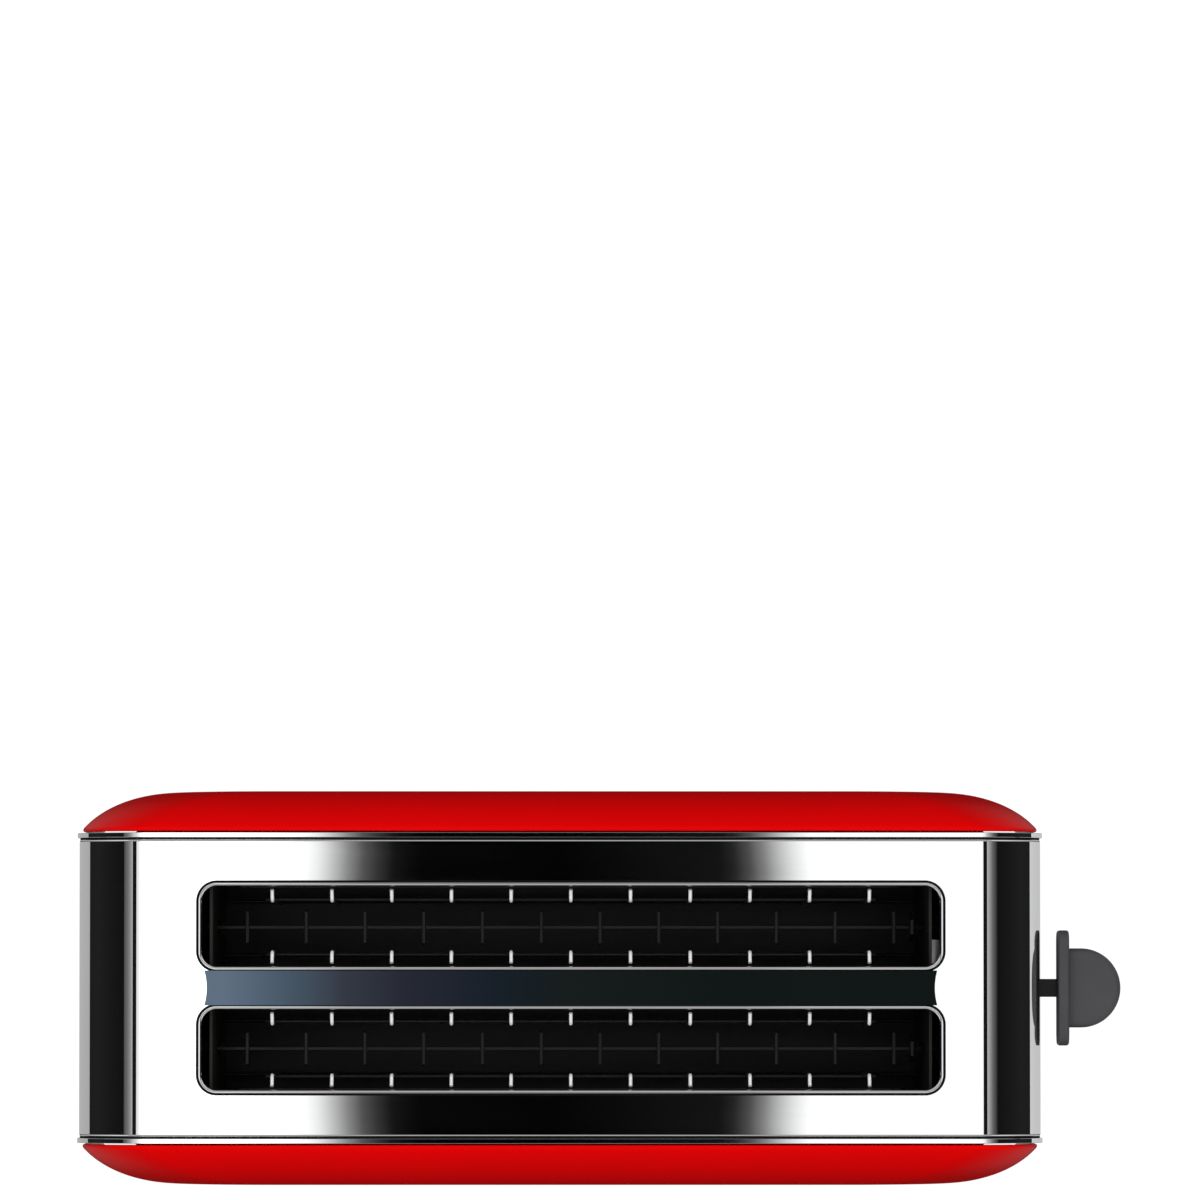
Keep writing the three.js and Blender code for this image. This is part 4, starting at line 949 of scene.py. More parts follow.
screw_low, screw_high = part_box("base_screw_1")
HEAD = 2 * MM
head_radius = (screw_high.x - screw_low.x) / 2
length = screw_high.z - screw_low.z
profile = rounded(
    [
        (0, 0), (head_radius - 0.6 * MM, 0), (head_radius, HEAD), (SCREW_RADIUS, HEAD),
        (SCREW_RADIUS, length - 1 * MM), (0, length),
    ],
    [0.5 * MM, 0.2 * MM, 0, 0],
)
screw = turned("screw", profile, (0, 0, 0), steps=32)
for half_x, half_y in ((2 * MM, 0.4 * MM), (0.4 * MM, 2 * MM)):
    groove = block("groove", -half_x, half_x, -half_y, half_y, -1 * MM, 0.8 * MM, 0.1 * MM)
    combine(screw, groove, "DIFFERENCE")
nodes = [f"base_screw_{number}" for number in CORNERS]
spread_x, spread_y, _ = [max(places) - min(places) for places in zip(*map(centre_of, nodes))]
centre = (MIDDLE, 0, screw_low.z)
screws = run_tree(
    "base_screws", grid_tree, screw, Size_X=spread_x, Size_Y=spread_y, Centre=centre, Finish=PLATED
)
show(polish(screws, 40), PLATED, "zinc_steel", "housing", *nodes)

# %% The cord sleeve
LEAD_RADIUS = 3.3 * MM
gland_low, gland_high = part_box("cord_gland")
inner_y, outer_y = gland_low.y, gland_high.y
middle_y = (inner_y + outer_y) / 2
flange = (gland_high.x - gland_low.x) / 2
flange_low = panel_high.y - BASE_INSET + FIT
flange_high = flange_low + 1.6 * MM
profile = rounded(
    [
        (LEAD_RADIUS, middle_y), (LEAD_RADIUS, outer_y), (GLAND_RADIUS, outer_y),
        (GLAND_RADIUS, flange_high), (flange, flange_high), (flange, flange_low),
        (GLAND_RADIUS, flange_low), (GLAND_RADIUS, inner_y),
        (LEAD_RADIUS, inner_y), (LEAD_RADIUS, middle_y),
    ],
    [0.5 * MM, 0.5 * MM, 0.3 * MM, 0.2 * MM, 0.1 * MM, 0, 0.3 * MM, 0.3 * MM],
)
sleeve = turned("cord_sleeve", profile[:-1], (gland_x, 0, gland_z), "y")
show(polish(sleeve, 40), RUBBER, "rubber", "housing", "cord_gland")

# %% [markdown]
# ## The crumb tray
#
# The tray is a shallow folded pan that slides out of the left end by a moulded front. The same
# loft that made the tub makes it: out along the floor, up, over the lip and down inside.

# %% Press the pan and mould its front
TRAY_WALL = 0.8 * MM
TRAY_CORNER = 4 * MM
SCOOP_HALF = 26 * MM
pan_outline = rounded_rect(tray_low.x, tray_high.x, tray_low.y, tray_high.y, TRAY_CORNER)
ease = 0.2 * MM
lip = [(0, tray_high.z - ease), (-ease, tray_high.z), (-TRAY_WALL + ease, tray_high.z)]
pan_floor = tray_low.z + TRAY_WALL
inside = [(g - TRAY_WALL, z) for g, z in reversed(quarter_edge(1.2 * MM, pan_floor))]
stations = quarter_edge(1.6 * MM, tray_low.z) + lip + [(-TRAY_WALL, tray_high.z - ease)] + inside
pan = closed_bar("crumb_pan", pan_outline, "z", stations)
# The tray's near-black finish is painted shade for the bottoms of the slots.
show(polish(pan, 40), TRAY_SHADE, "aluminium", "tray", "crumb_tray")

handle_low, handle_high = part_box("tray_handle")
face_outline = rounded_rect(handle_low.y, handle_high.y, handle_low.z, handle_high.z, 1.4 * MM)
edge = quarter_edge(1.2 * MM, handle_low.x)
handle = closed_bar("tray_front", face_outline, "x", edge + [(0, handle_high.x)])
scoop_outline = rounded_rect(-SCOOP_HALF, SCOOP_HALF, handle_low.z - 6 * MM, handle_low.z + 4 * MM, 3 * MM)
mouth = [(1 * MM, handle_low.x - 0.2 * MM), (0.3 * MM, handle_low.x + 0.5 * MM)]
mouth += [(0, handle_low.x + 1.2 * MM), (0, handle_high.x - 2 * MM)]
scoop = closed_bar("scoop", scoop_outline, "x", mouth)
combine(handle, scoop, "DIFFERENCE")
show(polish(handle, 40), MOULDED, "black_plastic", "tray", "tray_handle")

# %% [markdown]
# ## Wire guards
#
# Bread is held upright between two guards in each slot: eleven bright upright wires welded to
# long ones, hinged at the foot and bent outwards at the mouth. Geometry Nodes suit them well.
# The host is one bent line, the tree gives it a round section and repeats it, and adds the bars.

# %% The guard tree
VECTORS = ("Step", "Bar Start", "Bar End", "Bar Step", "Pin Start", "Pin End")
GUARD_INPUTS = {"Wire Radius": "Float", "Bend": "Float", "Count": "Int"}
GUARD_INPUTS.update(dict.fromkeys(VECTORS, "Vector"))
LONG_WIRES = 2
guard_tree, given, result = new_tree("wire guard", GUARD_INPUTS)


def straight_wire(start, end):
    """A straight wire of the guard."""
    line = output_of(guard_tree, "GeometryNodeCurvePrimitiveLine", {"Start": start, "End": end})
    return wired(guard_tree, line, given["Wire Radius"])


host = output_of(guard_tree, "GeometryNodeMeshToCurve", {"Mesh": given["Host"]})
inputs = {"Curve": host, "Radius": given["Bend"], "Count": 6}
bent = output_of(guard_tree, "GeometryNodeFilletCurve", inputs, mode="POLY")
upright = wired(guard_tree, bent, given["Wire Radius"])
uprights = copied_to(guard_tree, row_of(guard_tree, given["Count"], given["Step"]), upright)
levels = row_of(guard_tree, LONG_WIRES, given["Bar Step"])
bars = copied_to(guard_tree, levels, straight_wire(given["Bar Start"], given["Bar End"]))
joined = add_node(guard_tree, "GeometryNodeJoinGeometry")
for part in (straight_wire(given["Pin Start"], given["Pin End"]), bars, uprights):
    guard_tree.links.new(part, joined.inputs[0])
close_tree(guard_tree, joined.outputs[0], given, result)

# %% Bend the four guards
WIRE = 1.5 * MM
WIRE_COUNT = 11
GUARD_FLARE = 4.5 * MM
FLARE_HEIGHT = 3.5 * MM
HINGE_OFFSET = 11.55 * MM
PIN_ENDS = 7.4 * MM  # how much longer the hinge pin is than the wires' twelve pitches
BAR_END = 4 * MM


def guard(node, row, side):
    """One guard: a bent upright at the first place, repeated along the slot."""
    low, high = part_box(node)
    middle = (low.x + high.x) / 2
    pitch = (high.x - low.x - PIN_ENDS) / (WIRE_COUNT + 1)
    first = middle - pitch * (WIRE_COUNT - 1) / 2
    foot_z, flare_z = low.z + WIRE / 2, high.z - FLARE_HEIGHT
    rise = (flare_z - foot_z) / (LONG_WIRES + 1)
    hinge_y = row + side * HINGE_OFFSET
    wire_y = hinge_y - side * 0.6 * WIRE
    tip = (first, wire_y + side * GUARD_FLARE, high.z - WIRE / 2)
    mesh = bpy.data.meshes.new(node)
    mesh.from_pydata([(first, wire_y, foot_z), (first, wire_y, flare_z), tip], [(0, 1), (1, 2)], [])
    host = bpy.data.objects.new(node, mesh)
    bpy.context.scene.collection.objects.link(host)
    reach = middle - first + BAR_END
    made = run_tree(
        node.replace("guard", "wire_guard"),
        guard_tree,
        host,
        Wire_Radius=WIRE / 2,
        Bend=3 * MM,
        Count=WIRE_COUNT,
        Step=(pitch, 0, 0),
        Bar_Start=(middle - reach, hinge_y, foot_z + rise),
        Bar_End=(middle + reach, hinge_y, foot_z + rise),
        Bar_Step=(0, 0, rise),
        Pin_Start=(low.x, hinge_y, foot_z),
        Pin_End=(high.x, hinge_y, foot_z),
        Finish=GUARD_STEEL,
    )
    return polish(made, 50)


for row, row_y in slot_rows.items():
    for reach_name, side in (("near", -1), ("far", 1)):
        node = f"guard_{row}_{reach_name}"
        show(guard(node, row_y, side), GUARD_STEEL, "wire_steel", f"{node}_body", node)

# %% [markdown]
# ## Bread racks
#
# Each rack is a strip on edge with a row of short cross fins that the bread stands on, and an
# upright tab at the lever end. The fins repeat, so one is made and the row tree sets them down.


# %% Make the racks
def plate(name, outline, axis, low, high, edge=0.2 * MM):
    """A flat piece with eased edges on both faces."""
    return closed_bar(name, outline, axis, [(-edge, low), (0, low + edge), (0, high - edge), (-edge, high)])


def polygon(points):
    """A function that gives a straight-sided outline, grown along its corners' bisectors."""
    ring = [Vector(p) for p in points]

    def grown(grow):
        made = []
        for before, here, after in zip(ring[-1:] + ring[:-1], ring, ring[1:] + ring[:1]):
            into, out = (here - before).normalized(), (after - here).normalized()
            n1, n2 = Vector((into.y, -into.x)), Vector((out.y, -out.x))
            made.append(tuple(here + (n1 + n2) * grow / (1 + n1.dot(n2))))
        return made

    return grown


RACK_STRIP = 1.5 * MM
STOP_HEIGHT = 14 * MM
STOP_SETBACK = 6 * MM
FIN_HEIGHT = 4 * MM
FOOT_HALF = 6 * MM
TAB_HALF = 3 * MM
chassis_left, chassis_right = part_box("end_plate_left")[1].x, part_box("end_plate_right")[0].x
chassis_half = (chassis_right - chassis_left) / 2
wire_pitch = 2 * chassis_half / (WIRE_COUNT + 1)


def rack(node, row):
    """One rack, from the strip out to its fins, foot and tab."""
    low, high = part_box(node)
    rest, half = high.z - STOP_HEIGHT, RACK_STRIP / 2
    spine_top = rest - 1 * MM
    spine = rounded_rect(low.x, high.x, low.z, spine_top, 0.8 * MM, 3)
    made = plate(node.replace("rack", "bread_rack"), spine, "y", row - half, row + half)
    foot = rounded_rect(row - FOOT_HALF, row + FOOT_HALF, low.z, spine_top, 1 * MM, 3)
    combine(made, plate("foot", foot, "x", high.x - RACK_STRIP, high.x), "UNION")
    fin_z, top_z = rest - FIN_HEIGHT, rest + STOP_HEIGHT
    fin = rounded_rect(low.y, high.y, fin_z, rest, 0.9 * MM, 3)
    first = chassis_right - chassis_half - wire_pitch * WIRE_COUNT / 2
    one = plate("fin", fin, "x", first - half, first + half)
    fins = run_tree("fins", row_tree, one, Count=WIRE_COUNT + 1, Step=(wire_pitch, 0, 0), Finish=WIRE_STEEL)
    combine(made, fins, "UNION")
    corners = [(-FOOT_HALF, fin_z), (FOOT_HALF, fin_z), (TAB_HALF, top_z), (-TAB_HALF, top_z)]
    tab = polygon([(row + y, z) for y, z in corners])
    stop_x = chassis_right - STOP_SETBACK
    combine(made, plate("tab", tab, "x", stop_x, stop_x + RACK_STRIP), "UNION")
    return polish(made, 40)


for row, row_y in slot_rows.items():
    show(rack(f"rack_{row}", row_y), RACK_STEEL, "wire_steel", "carriage", f"rack_{row}")

# %% [markdown]
# ## Lift rod and spring
#
# The slider runs on a round rod, pushed up by a long compression spring round it. A helix is a
# rule, so a tree makes it. The spring rides with the slider as one rigid piece; nothing here
# shortens it.

# %% Turn the rod and wind the spring
ends = [(0, rod_low.z), (rod_radius, rod_low.z), (rod_radius, rod_high.z), (0, rod_high.z)]
rod = turned("lift_rod", rounded(ends, [0.6 * MM, 0.6 * MM]), (rod_x, rod_y, 0))
show(polish(rod, 40), WIRE_STEEL, "wire_steel", "housing", "guide_rod")

SPRING_INPUTS = {"Turns": "Float", "Radius": "Float", "Height": "Float", "Wire Radius": "Float"}
spring_tree, given, result = new_tree("spring", {**SPRING_INPUTS, "Centre": "Vector"})
inputs = {"Resolution": 28, "Rotations": given["Turns"], "Height": given["Height"]}
inputs.update({"Start Radius": given["Radius"], "End Radius": given["Radius"]})
helix = moved_to(spring_tree, output_of(spring_tree, "GeometryNodeCurveSpiral", inputs), given["Centre"])
close_tree(spring_tree, wired(spring_tree, helix, given["Wire Radius"]), given, result)

SPRING_WIRE = 0.7 * MM
spring_low, spring_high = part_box("lift_spring")
spring_length = spring_high.z - spring_low.z
spring = run_tree(
    "lift_coil",
    spring_tree,
    Turns=12.0,
    Radius=rod_radius + SPRING_WIRE + FIT,
    Height=spring_length - 2 * SPRING_WIRE,
    Wire_Radius=SPRING_WIRE,
    Centre=(rod_x, rod_y, spring_low.z + SPRING_WIRE),
    Finish=WIRE_STEEL,
)
settle(polish(spring, 60))
show(spring, WIRE_STEEL, "wire_steel", "carriage", "lift_spring")
travel = next(j for j in frame["joints"] if j["name"] == "lever_slide")["range_m"][1]
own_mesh(spring)
print(f"spring {1000 * spring_length:.1f} mm long, pressed by {1000 * travel:.0f} mm")

# %% [markdown]
# ## The control panel
#
# A gloss black moulding fills the window in the lever end, all but flush with the steel. It is a
# shallow dish, and a flange behind the sheet holds it. Its face has a long slot for the lever and
# round holes for the dial shaft and the three buttons, so its front and back are both filled
# flat, less the holes.

# %% Mould the control panel
PANEL_SKIN = 2 * MM
RECESS = 0.3 * MM
BUTTON_RADIUS = 4.5 * MM
face_x, back_x = control_high.x, control_low.x
front_x = face_x - RECESS
hollow_x = front_x - PANEL_SKIN
flange_x = MIDDLE + HALF_LENGTH - STEEL - FIT
neck_low, neck_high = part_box("lever_neck")
dial_low, dial_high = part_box("dial")
shaft_low, shaft_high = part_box("dial_shaft")
shaft_radius = (shaft_high.y - shaft_low.y) / 2
dial_z = centre_of("dial")[2]
button_places = {name: centre_of(f"button_{name}")[1:] for name in ("cancel", "defrost", "reheat")}

low_z, high_z = neck_low.z - travel - RUN, neck_high.z + RUN
openings = [rounded_rect(neck_low.y - RUN, neck_high.y + RUN, low_z, high_z, 2 * RUN, 5)]
openings.append(circle(0, dial_z, shaft_radius + RUN, 32))
openings += [circle(y, z, BUTTON_RADIUS + RUN, 40) for y, z in button_places.values()]

bm = bmesh.new()
soft, turns = 0.5 * MM, (0, 0.4, 0.8, 1.2, 1.571)
lip = [(-soft * (1 - math.cos(a)), face_x - soft * (1 - math.sin(a))) for a in turns]
skin = [(-PANEL_SKIN, back_x), (0, back_x), (0, flange_x - FLANGE), (FLANGE, flange_x - FLANGE)]
skin += [(FLANGE, flange_x), (0, flange_x)] + lip
skin += [(-1.3 * MM, face_x), (-1.6 * MM, face_x - 0.1 * MM), (-2 * MM, front_x)]
rings = loft(bm, stack(control_outline, "x", skin))
inner = loft(bm, stack(control_outline, "x", [(-PANEL_SKIN, back_x), (-PANEL_SKIN, hollow_x)]))
ease, halfway = 0.25 * MM, 0.07 * MM
mouth = [(ease, front_x), (halfway, front_x - halfway), (0, front_x - ease), (0, hollow_x)]
walls = [loft(bm, stack(opening, "x", mouth)) for opening in openings]
fill_flat(bm, rings[-1], [wall[0] for wall in walls])
fill_flat(bm, inner[-1], [wall[-1] for wall in walls])
control = object_from("control_panel_face", bm, Vector((1, 0, 0)))
show(polish(control, 40), GLOSS, "gloss_black", "housing", "control_panel")

# %% [markdown]
# Round the dial a fan of short marks shows how dark the toast will be. They are one thin bar
# turned again and again about the dial's axis. The bar stands a tenth of a millimetre proud.

# %% Set the marks round the dial
FAN_INPUTS = {"Count": "Int", "Centre": "Vector", "Start": "Float", "Step": "Float"}
fan_tree, given, result = new_tree("fan", FAN_INPUTS)
inputs = {"Count": given["Count"], "Position": given["Centre"]}
points = output_of(fan_tree, "GeometryNodePoints", inputs)
inputs = {0: output_of(fan_tree, "GeometryNodeInputIndex"), 1: given["Step"], 2: given["Start"]}
turn = output_of(fan_tree, "ShaderNodeMath", inputs, operation="MULTIPLY_ADD")
about_x = output_of(fan_tree, "ShaderNodeCombineXYZ", {"X": turn})
copies = copied_to(fan_tree, points, given["Host"], Rotation=about_x)
close_tree(fan_tree, copies, given, result)

MARK_COUNT = 11
MARK_SWEEP = math.radians(270)
MARK_LENGTH = 2.6 * MM
MARK_HALF = 0.3 * MM
MARK_PROUD = 0.1 * MM
dial_radius = (dial_high.y - dial_low.y) / 2
mark_start = dial_radius + 1.6 * MM
bar = rounded_rect(-MARK_HALF, MARK_HALF, mark_start, mark_start + MARK_LENGTH, 0.25 * MM, 4)
one = closed_bar("mark", bar, "x", [(0, -MARK_PROUD), (0, MARK_PROUD)])
marks = run_tree(
    "dial_marks",
    fan_tree,
    one,
    Count=MARK_COUNT,
    Centre=(front_x, 0, dial_z),
    Start=-MARK_SWEEP / 2,
    Step=MARK_SWEEP / (MARK_COUNT - 1),
    Finish=TERMINAL,
)
show(polish(marks, 40), TERMINAL, "terminal", "housing")

# %% [markdown]
# ## The browning dial
#
# The dial is a turned cap with fine ribs round its side to grip, and a bar across its front that
# points to the setting. The ribs come from the same fan as the marks, one half-round at a time.

# %% Turn the dial
RIB_COUNT = 36
RIB_RADIUS = 0.55 * MM
BORE_DEPTH = 1.8 * MM
body_radius = dial_radius - 0.4 * MM
cap_x = dial_high.x - 2 * MM
profile = rounded(
    [(0, dial_low.x), (body_radius, dial_low.x), (body_radius, cap_x), (0, cap_x - 0.3 * MM)],
    [0.3 * MM, 0.9 * MM],
)
cap = turned("browning_dial", profile, (0, 0, dial_z), "x", 72)
grip = rounded_rect(-2 * MM, 2 * MM, dial_z - dial_radius + 2 * MM, dial_z + dial_radius - 1 * MM, 1.9 * MM)
grip_ends = [(0.5 * MM, cap_x - 1 * MM), (0, dial_high.x - 0.8 * MM)]
grip_ends += [(-0.23 * MM, dial_high.x - 0.23 * MM), (-0.8 * MM, dial_high.x)]
combine(cap, closed_bar("grip", grip, "x", grip_ends), "UNION")
bore = circle(0, dial_z, shaft_radius + FIT, 32)
bore_ends = [(0, dial_low.x - PAST), (0, dial_low.x + BORE_DEPTH)]
combine(cap, closed_bar("bore", bore, "x", bore_ends), "DIFFERENCE")
rib_ends = [(-0.3 * MM, dial_low.x + 0.5 * MM), (0, dial_low.x + 0.8 * MM)]
rib_ends += [(0, cap_x - 1.3 * MM), (-0.3 * MM, cap_x - 0.9 * MM)]
one = closed_bar("rib", circle(0, body_radius - 0.15 * MM, RIB_RADIUS, 10), "x", rib_ends)
pitch = 2 * math.pi / RIB_COUNT
ribs = run_tree(
    "ribs", fan_tree, one, Count=RIB_COUNT, Centre=(0, 0, dial_z), Start=0.0, Step=pitch, Finish=MOULDED
)
combine(cap, ribs, "UNION")
show(polish(cap, 40), MOULDED, "black_plastic", "dial_group", "dial")

line_top = dial_z + dial_radius - 2.2 * MM
pointer = rounded_rect(-0.45 * MM, 0.45 * MM, line_top - 7 * MM, line_top, 0.4 * MM, 4)
pointer = closed_bar("dial_pointer", pointer, "x", [(0, dial_high.x - 0.2 * MM), (0, dial_high.x)])
show(polish(pointer, 40), TERMINAL, "terminal", "dial_group")

# %% [markdown]
# ## Push buttons
#
# Three small round buttons, each a turned cap with a softly dished front. A wider collar behind
# the panel's skin keeps it in, and a stem reaches back to the switch.

# %% Turn the buttons
COLLAR = 1 * MM
collar_x = hollow_x - FIT
stem_radius = BUTTON_RADIUS - 1.5 * MM
for name, (y, z) in button_places.items():
    low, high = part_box(f"button_{name}")
    collar_radius = (high.y - low.y) / 2
    profile = rounded(
        [
            (0, low.x), (stem_radius, low.x), (stem_radius, collar_x - COLLAR),
            (collar_radius, collar_x - COLLAR), (collar_radius, collar_x), (BUTTON_RADIUS, collar_x),
            (BUTTON_RADIUS, high.x), (BUTTON_RADIUS - 1 * MM, high.x), (0, high.x - 0.5 * MM),
        ],
        [0.3 * MM, 0.3 * MM, 0.2 * MM, 0.2 * MM, 0.2 * MM, 0.7 * MM, 0.3 * MM],
    )
    button = turned(f"push_button_{name}", profile, (0, y, z), "x", 40)
    show(polish(button, 40), CHARCOAL, "knob_plastic", f"button_{name}_body", f"button_{name}")

# %% [markdown]
# ## The lever
#
# A flat neck comes through the long slot from the slider to the knob. The knob is two shapes
# moulded as one: a plate across the lever, and a D-shaped tongue to press down. Each gets its
# own rounded edges, and then they are united.

# %% Mould the neck and the knob
neck_outline = rounded_rect(neck_low.y, neck_high.y, neck_low.z, neck_high.z, 0.8 * MM)
neck = closed_bar("lever_arm", neck_outline, "x", [(0, neck_low.x), (0, neck_high.x)])
show(polish(neck, 40), MOULDED, "black_plastic", "carriage", "lever_neck")

KNOB_PLATE = 4.6 * MM
KNOB_CORNER = 5 * MM
PLATE_EDGE = 1.1 * MM
TONGUE_HALF = 16.5 * MM
TONGUE_THICK = 9 * MM
TONGUE_ROOT = 2 * MM
TONGUE_EDGE = 2.6 * MM
knob_low, knob_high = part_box("lever_knob")
plate_end = knob_low.x + KNOB_PLATE
lever_z = centre_of("lever_knob")[2]


def both_edges(radius, low, high):
    """Stations of a bar with a rounding at both ends."""
    start = quarter_edge(radius, low, 5)
    return start + [(grow, high + low - w) for grow, w in reversed(start)]


def tongue_outline(grow):
    """The D from above: straight sides from inside the plate, then half round."""
    radius, root_x = TONGUE_HALF + grow, plate_end - TONGUE_ROOT
    front = arc(knob_high.x - TONGUE_HALF, 0, radius, radius, -90, 90, 40)
    return [(root_x, -radius), *front, (root_x, radius)]


knob_outline = rounded_rect(knob_low.y, knob_high.y, knob_low.z, knob_high.z, KNOB_CORNER, 12)
knob = closed_bar("lever_handle", knob_outline, "x", both_edges(PLATE_EDGE, knob_low.x, plate_end))
half = TONGUE_THICK / 2
tongue = closed_bar("tongue", tongue_outline, "z", both_edges(TONGUE_EDGE, lever_z - half, lever_z + half))
combine(knob, tongue, "UNION")
show(polish(knob, 30), CHARCOAL, "knob_plastic", "carriage", "lever_knob")

# %% [markdown]
# ## What the solids already show well
#
# The chassis is folded and punched flat stock, and its solids have that shape. They stay, each
# with a finish: steel plates plated, or painted near black as painted shade inside the slots, mica
# boards with oxidised ribbon, a copper winding and a green circuit board.

# %% Finish the chassis solids
KEPT = {
    # The end plates and reflectors are near black as painted shade in the slots.
    "end_plate_left end_plate_right reflector_front reflector_rear": INNER_SHADE,
    "rod_bracket carriage_bracket latch_plate magnet_core dial_sensor dial_shaft": PLATED,
    "heater_board_front heater_board_centre heater_board_rear": MICA,
    "ribbon_front_outer ribbon_front_inner ribbon_rear_outer ribbon_rear_inner": NICHROME,
    "carriage_slider": MOULDED,
    "magnet_coil": COPPER,
    "control_board": CIRCUIT,
    "board_connector": TERMINAL,
}
kept = {node: finish_used for nodes, finish_used in KEPT.items() for node in nodes.split()}
for node, finish_used in kept.items():
    mesh = frame["nodes"][node].data
    mesh.materials.clear()
    mesh.materials.append(finish_used)
unshown = [n for n, o in frame["nodes"].items() if not o.hide_render and n not in kept]
print("solids kept:", len(kept), "without a finish:", unshown)

# %% [markdown]
# ## The studio
#
# The toaster stands on a white sweep in soft light from above. Polished steel shows the room more
# than itself, so what it mirrors is built apart from the light: one overhead card, bright to the
# left and to the right with a dark gap between, whose edges fade as a softbox's do, a paler card
# low down that the ends of the wrap pick up, and a sloping card over each long side.

# %% The sweep
def flat_card(name, x0, x1, y0, y1, z):
    """A level rectangle of stage."""
    bm = bmesh.new()
    loft(bm, [[(x, y0, z), (x, y1, z)] for x in (x0, x1)], closed=False)
    card = object_from(name, bm)
    card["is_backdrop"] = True
    return card


SWEEP_HALF = 9
SWEEP_LEVEL = 0.9
WHITE = (1, 1, 1, 1)
sweep_paint = finish("sweep", (0.2, 0.2, 0.2, 1), 0.8, 0.01, Specular_IOR_Level=0.0)
white = sweep_paint.node_tree.nodes["Principled BSDF"].inputs
white["Emission Color"].default_value = WHITE
white["Emission Strength"].default_value = SWEEP_LEVEL
sweep = flat_card("sweep", MIDDLE - SWEEP_HALF, MIDDLE + SWEEP_HALF, -SWEEP_HALF, SWEEP_HALF, 0)
sweep.data.materials.append(sweep_paint)
sweep.visible_glossy = sweep.visible_diffuse = False

# %% The mirrored cards
CARD_HEIGHT = 1.0
# How strongly the overhead card glows, by metres from the wrap's middle.
OVERHEAD = [
    (-0.93, 0.07), (-0.76, 0.17), (-0.647, 0.30), (-0.536, 0.58), (-0.44, 0.76), (-0.348, 1.05),
    (-0.253, 2.0), (-0.174, 2.0), (-0.1325, 1.15), (-0.126, 0.95), (-0.12, 0.67), (-0.114, 0.40),
    (-0.1075, 0.18), (-0.101, 0.065), (-0.089, 0.008), (-0.075, 0.001), (0.0, 0.0003),
    (0.085, 0.006), (0.0925, 0.022), (0.099, 0.08), (0.105, 0.19), (0.111, 0.40), (0.1175, 0.70),
    (0.124, 0.94), (0.13, 1.15), (0.38, 1.15), (0.471, 0.95), (0.577, 0.5), (0.683, 0.3),
    (0.80, 0.13), (0.947, 0.05), (1.05, 0.0),
]
LOW = [(-0.62, 0.42), (0.0, 0.5), (0.62, 0.66)]
OVERHEAD_HALF = 0.13
LOW_HALF = 0.075
LOW_HEIGHT = 0.5 * MM


def mirror_only(card, colour_of, strength):
    """Makes a card glow in the colour that a function gives in its tree, for mirrors alone."""
    material = bpy.data.materials.new(card.name)
    material.use_nodes = True
    tree = material.node_tree
    tree.nodes.clear()
    glow = output_of(tree, "ShaderNodeEmission", {"Color": colour_of(tree), "Strength": strength})
    add_node(tree, "ShaderNodeOutputMaterial", {"Surface": glow})
    card.data.materials.append(material)
    card.visible_camera = card.visible_diffuse = card.visible_shadow = False


def glow_card(name, stops, half, z):
    """A card that glows along x by (place, strength) stops."""
    card = flat_card(name, MIDDLE + stops[0][0], MIDDLE + stops[-1][0], -half, half, z)
    strongest = max(strength for _, strength in stops)
    shares = [(MIDDLE + x, grey(strength / strongest)) for x, strength in stops]
    mirror_only(card, lambda tree: along(tree, "X", shares), strongest)


glow_card("overhead_card", OVERHEAD, OVERHEAD_HALF, TOP + CARD_HEIGHT)
glow_card("low_card", LOW, LOW_HALF, LOW_HEIGHT)

# %% The side cards
SIDE_LEVEL = 0.45
SIDE_HALF = 0.6
SIDE_EDGES = [(0.26, TOP + CARD_HEIGHT), (1.1, TOP + 0.3)]
for name, side in (("front_card", -1), ("rear_card", 1)):
    bm = bmesh.new()
    ends = (MIDDLE - SIDE_HALF, MIDDLE + SIDE_HALF)
    loft(bm, [[(x, side * y, z) for x in ends] for y, z in SIDE_EDGES], closed=False)
    card = object_from(name, bm, Vector((0, -side, -1)))
    card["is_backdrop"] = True
    mirror_only(card, lambda tree: WHITE, SIDE_LEVEL)

# %% [markdown]
# Beyond the cards, mirrors see pale screens in the four corners and dark flags between them: the
# flags are what the wrap's ends and the panels' long edges mirror in the view from above.

# %% The surroundings
def sky(tree, height, levels):
    """A background whose level follows the height of the direction, from -1 to 1."""
    strongest = max(level for _, level in levels)
    shares = ramp_over(tree, height, [(place, grey(level / strongest)) for place, level in levels])
    return output_of(tree, "ShaderNodeBackground", {"Color": shares, "Strength": strongest})


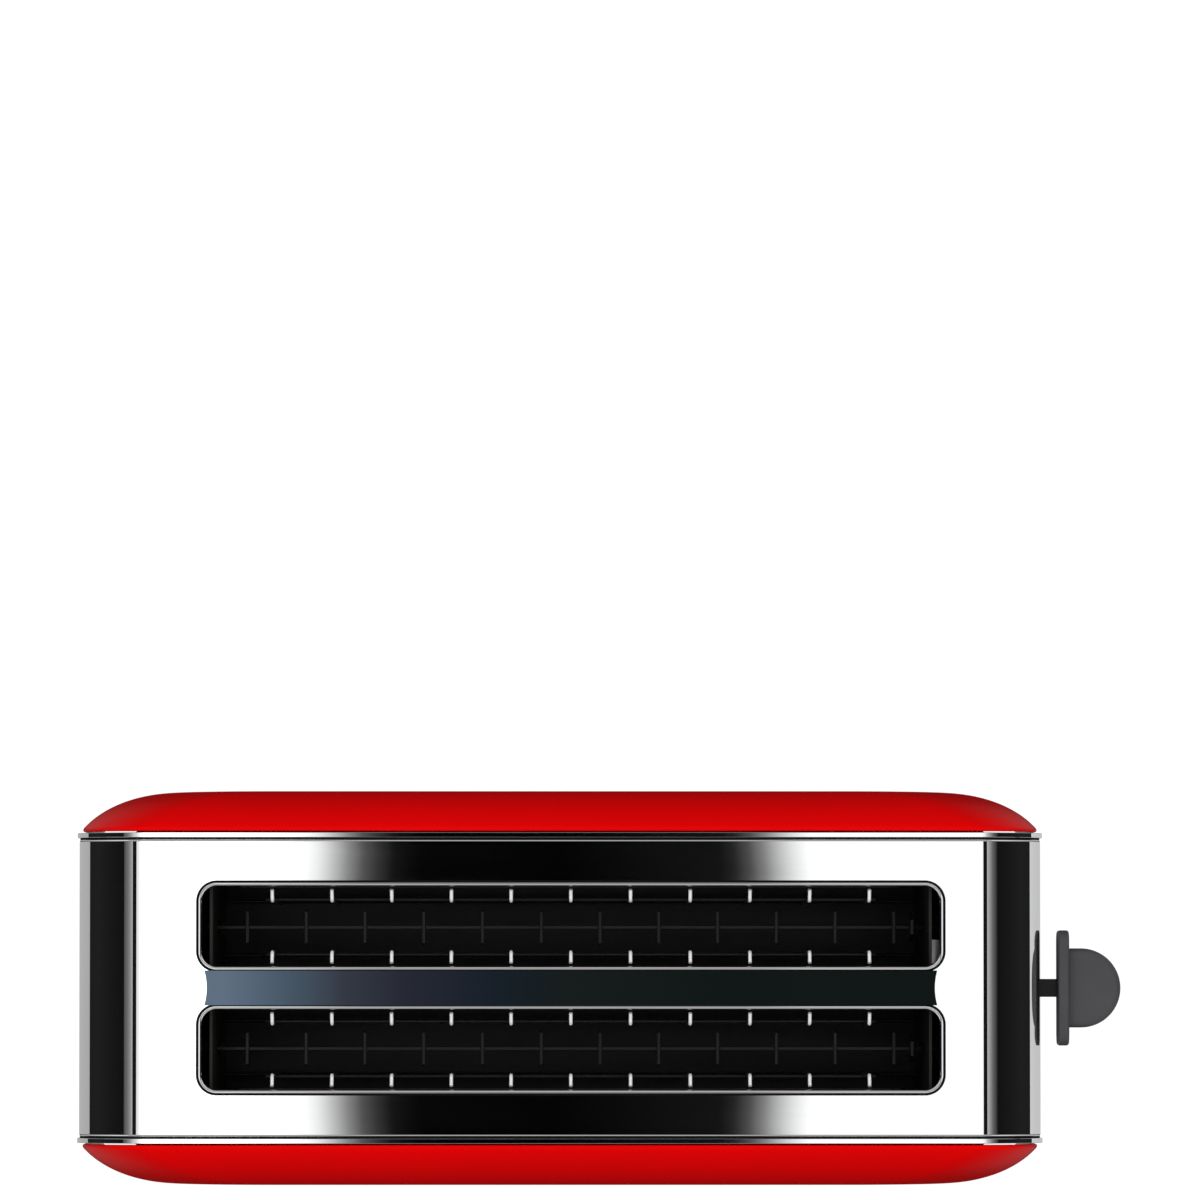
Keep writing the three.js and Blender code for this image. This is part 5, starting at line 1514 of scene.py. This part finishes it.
FLAG_HALF = 0.12  # how far off a plane through the middle a flag reaches
SCREEN_EDGE = 0.4  # where the screens are at their palest
world = bpy.data.worlds.new("studio")
world.use_nodes = True
bpy.context.scene.world = world
tree = world.node_tree
direction = add_node(tree, "ShaderNodeTexCoord").outputs["Generated"]
parts = add_node(tree, "ShaderNodeSeparateXYZ", {0: direction}).outputs
offsets = [output_of(tree, "ShaderNodeMath", {0: parts[axis]}, operation="ABSOLUTE") for axis in "XY"]
nearer = output_of(tree, "ShaderNodeMath", dict(enumerate(offsets)), operation="MINIMUM")
corner = output_of(
    tree, "ShaderNodeMapRange", {"Value": nearer, "From Min": FLAG_HALF, "From Max": SCREEN_EDGE}
)
lit = sky(tree, parts["Z"], [(-1, 0.05), (0, 0.12), (0.5, 0.55), (1, 2.0)])
flags = sky(tree, parts["Z"], [(-1, 0.01), (0, 0.015), (1, 0.004)])
screens = sky(tree, parts["Z"], [(-1, 0.45), (0, 0.6), (0.5, 0.8), (0.8, 0.5), (1, 0.01)])
mirrored = output_of(tree, "ShaderNodeMixShader", {0: corner, 1: flags, 2: screens})
rays = add_node(tree, "ShaderNodeLightPath").outputs["Is Glossy Ray"]
seen = output_of(tree, "ShaderNodeMixShader", {0: rays, 1: lit, 2: mirrored})
tree.links.new(seen, tree.nodes["World Output"].inputs["Surface"])

# %% [markdown]
# ## The camera
#
# The view is straight down from directly over the body, through a long lens, so the toaster
# shows its plan. The camera looks a little past the rear panel, which leaves clear sweep there.

# %% Place the camera
LENS_DISTANCE = 4.0  # metres above the steel top
FRAME_WIDTH = 0.4965  # metres across the frame at the steel top
AIM = Vector((16.55 * MM, 160.5 * MM))
lens = bpy.data.cameras.new("overhead camera")
lens.lens = lens.sensor_width * LENS_DISTANCE / FRAME_WIDTH
camera = bpy.data.objects.new("overhead_camera", lens)
camera.location = (MIDDLE, 0, TOP + LENS_DISTANCE)
camera.rotation_euler = (math.atan2(AIM.y, LENS_DISTANCE), -math.atan2(AIM.x, LENS_DISTANCE), 0)
bpy.context.scene.collection.objects.link(camera)
bpy.context.scene.camera = camera
bpy.context.scene.view_settings.view_transform = "Standard"
print(f"lens {lens.lens:.0f} mm")

# %% [markdown]
# ## Sizes, and the end
#
# The surfaces have to stay inside the solids' box. Both boxes are put side by side, and the visual size is
# printed.

# %% Measure and finish
low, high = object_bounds()
sizes = {"cad": [list(cad_low), list(cad_high)], "visual": [list(low), list(high)]}
print("visual size, mm:", [round(1000 * s, 1) for s in high - low])
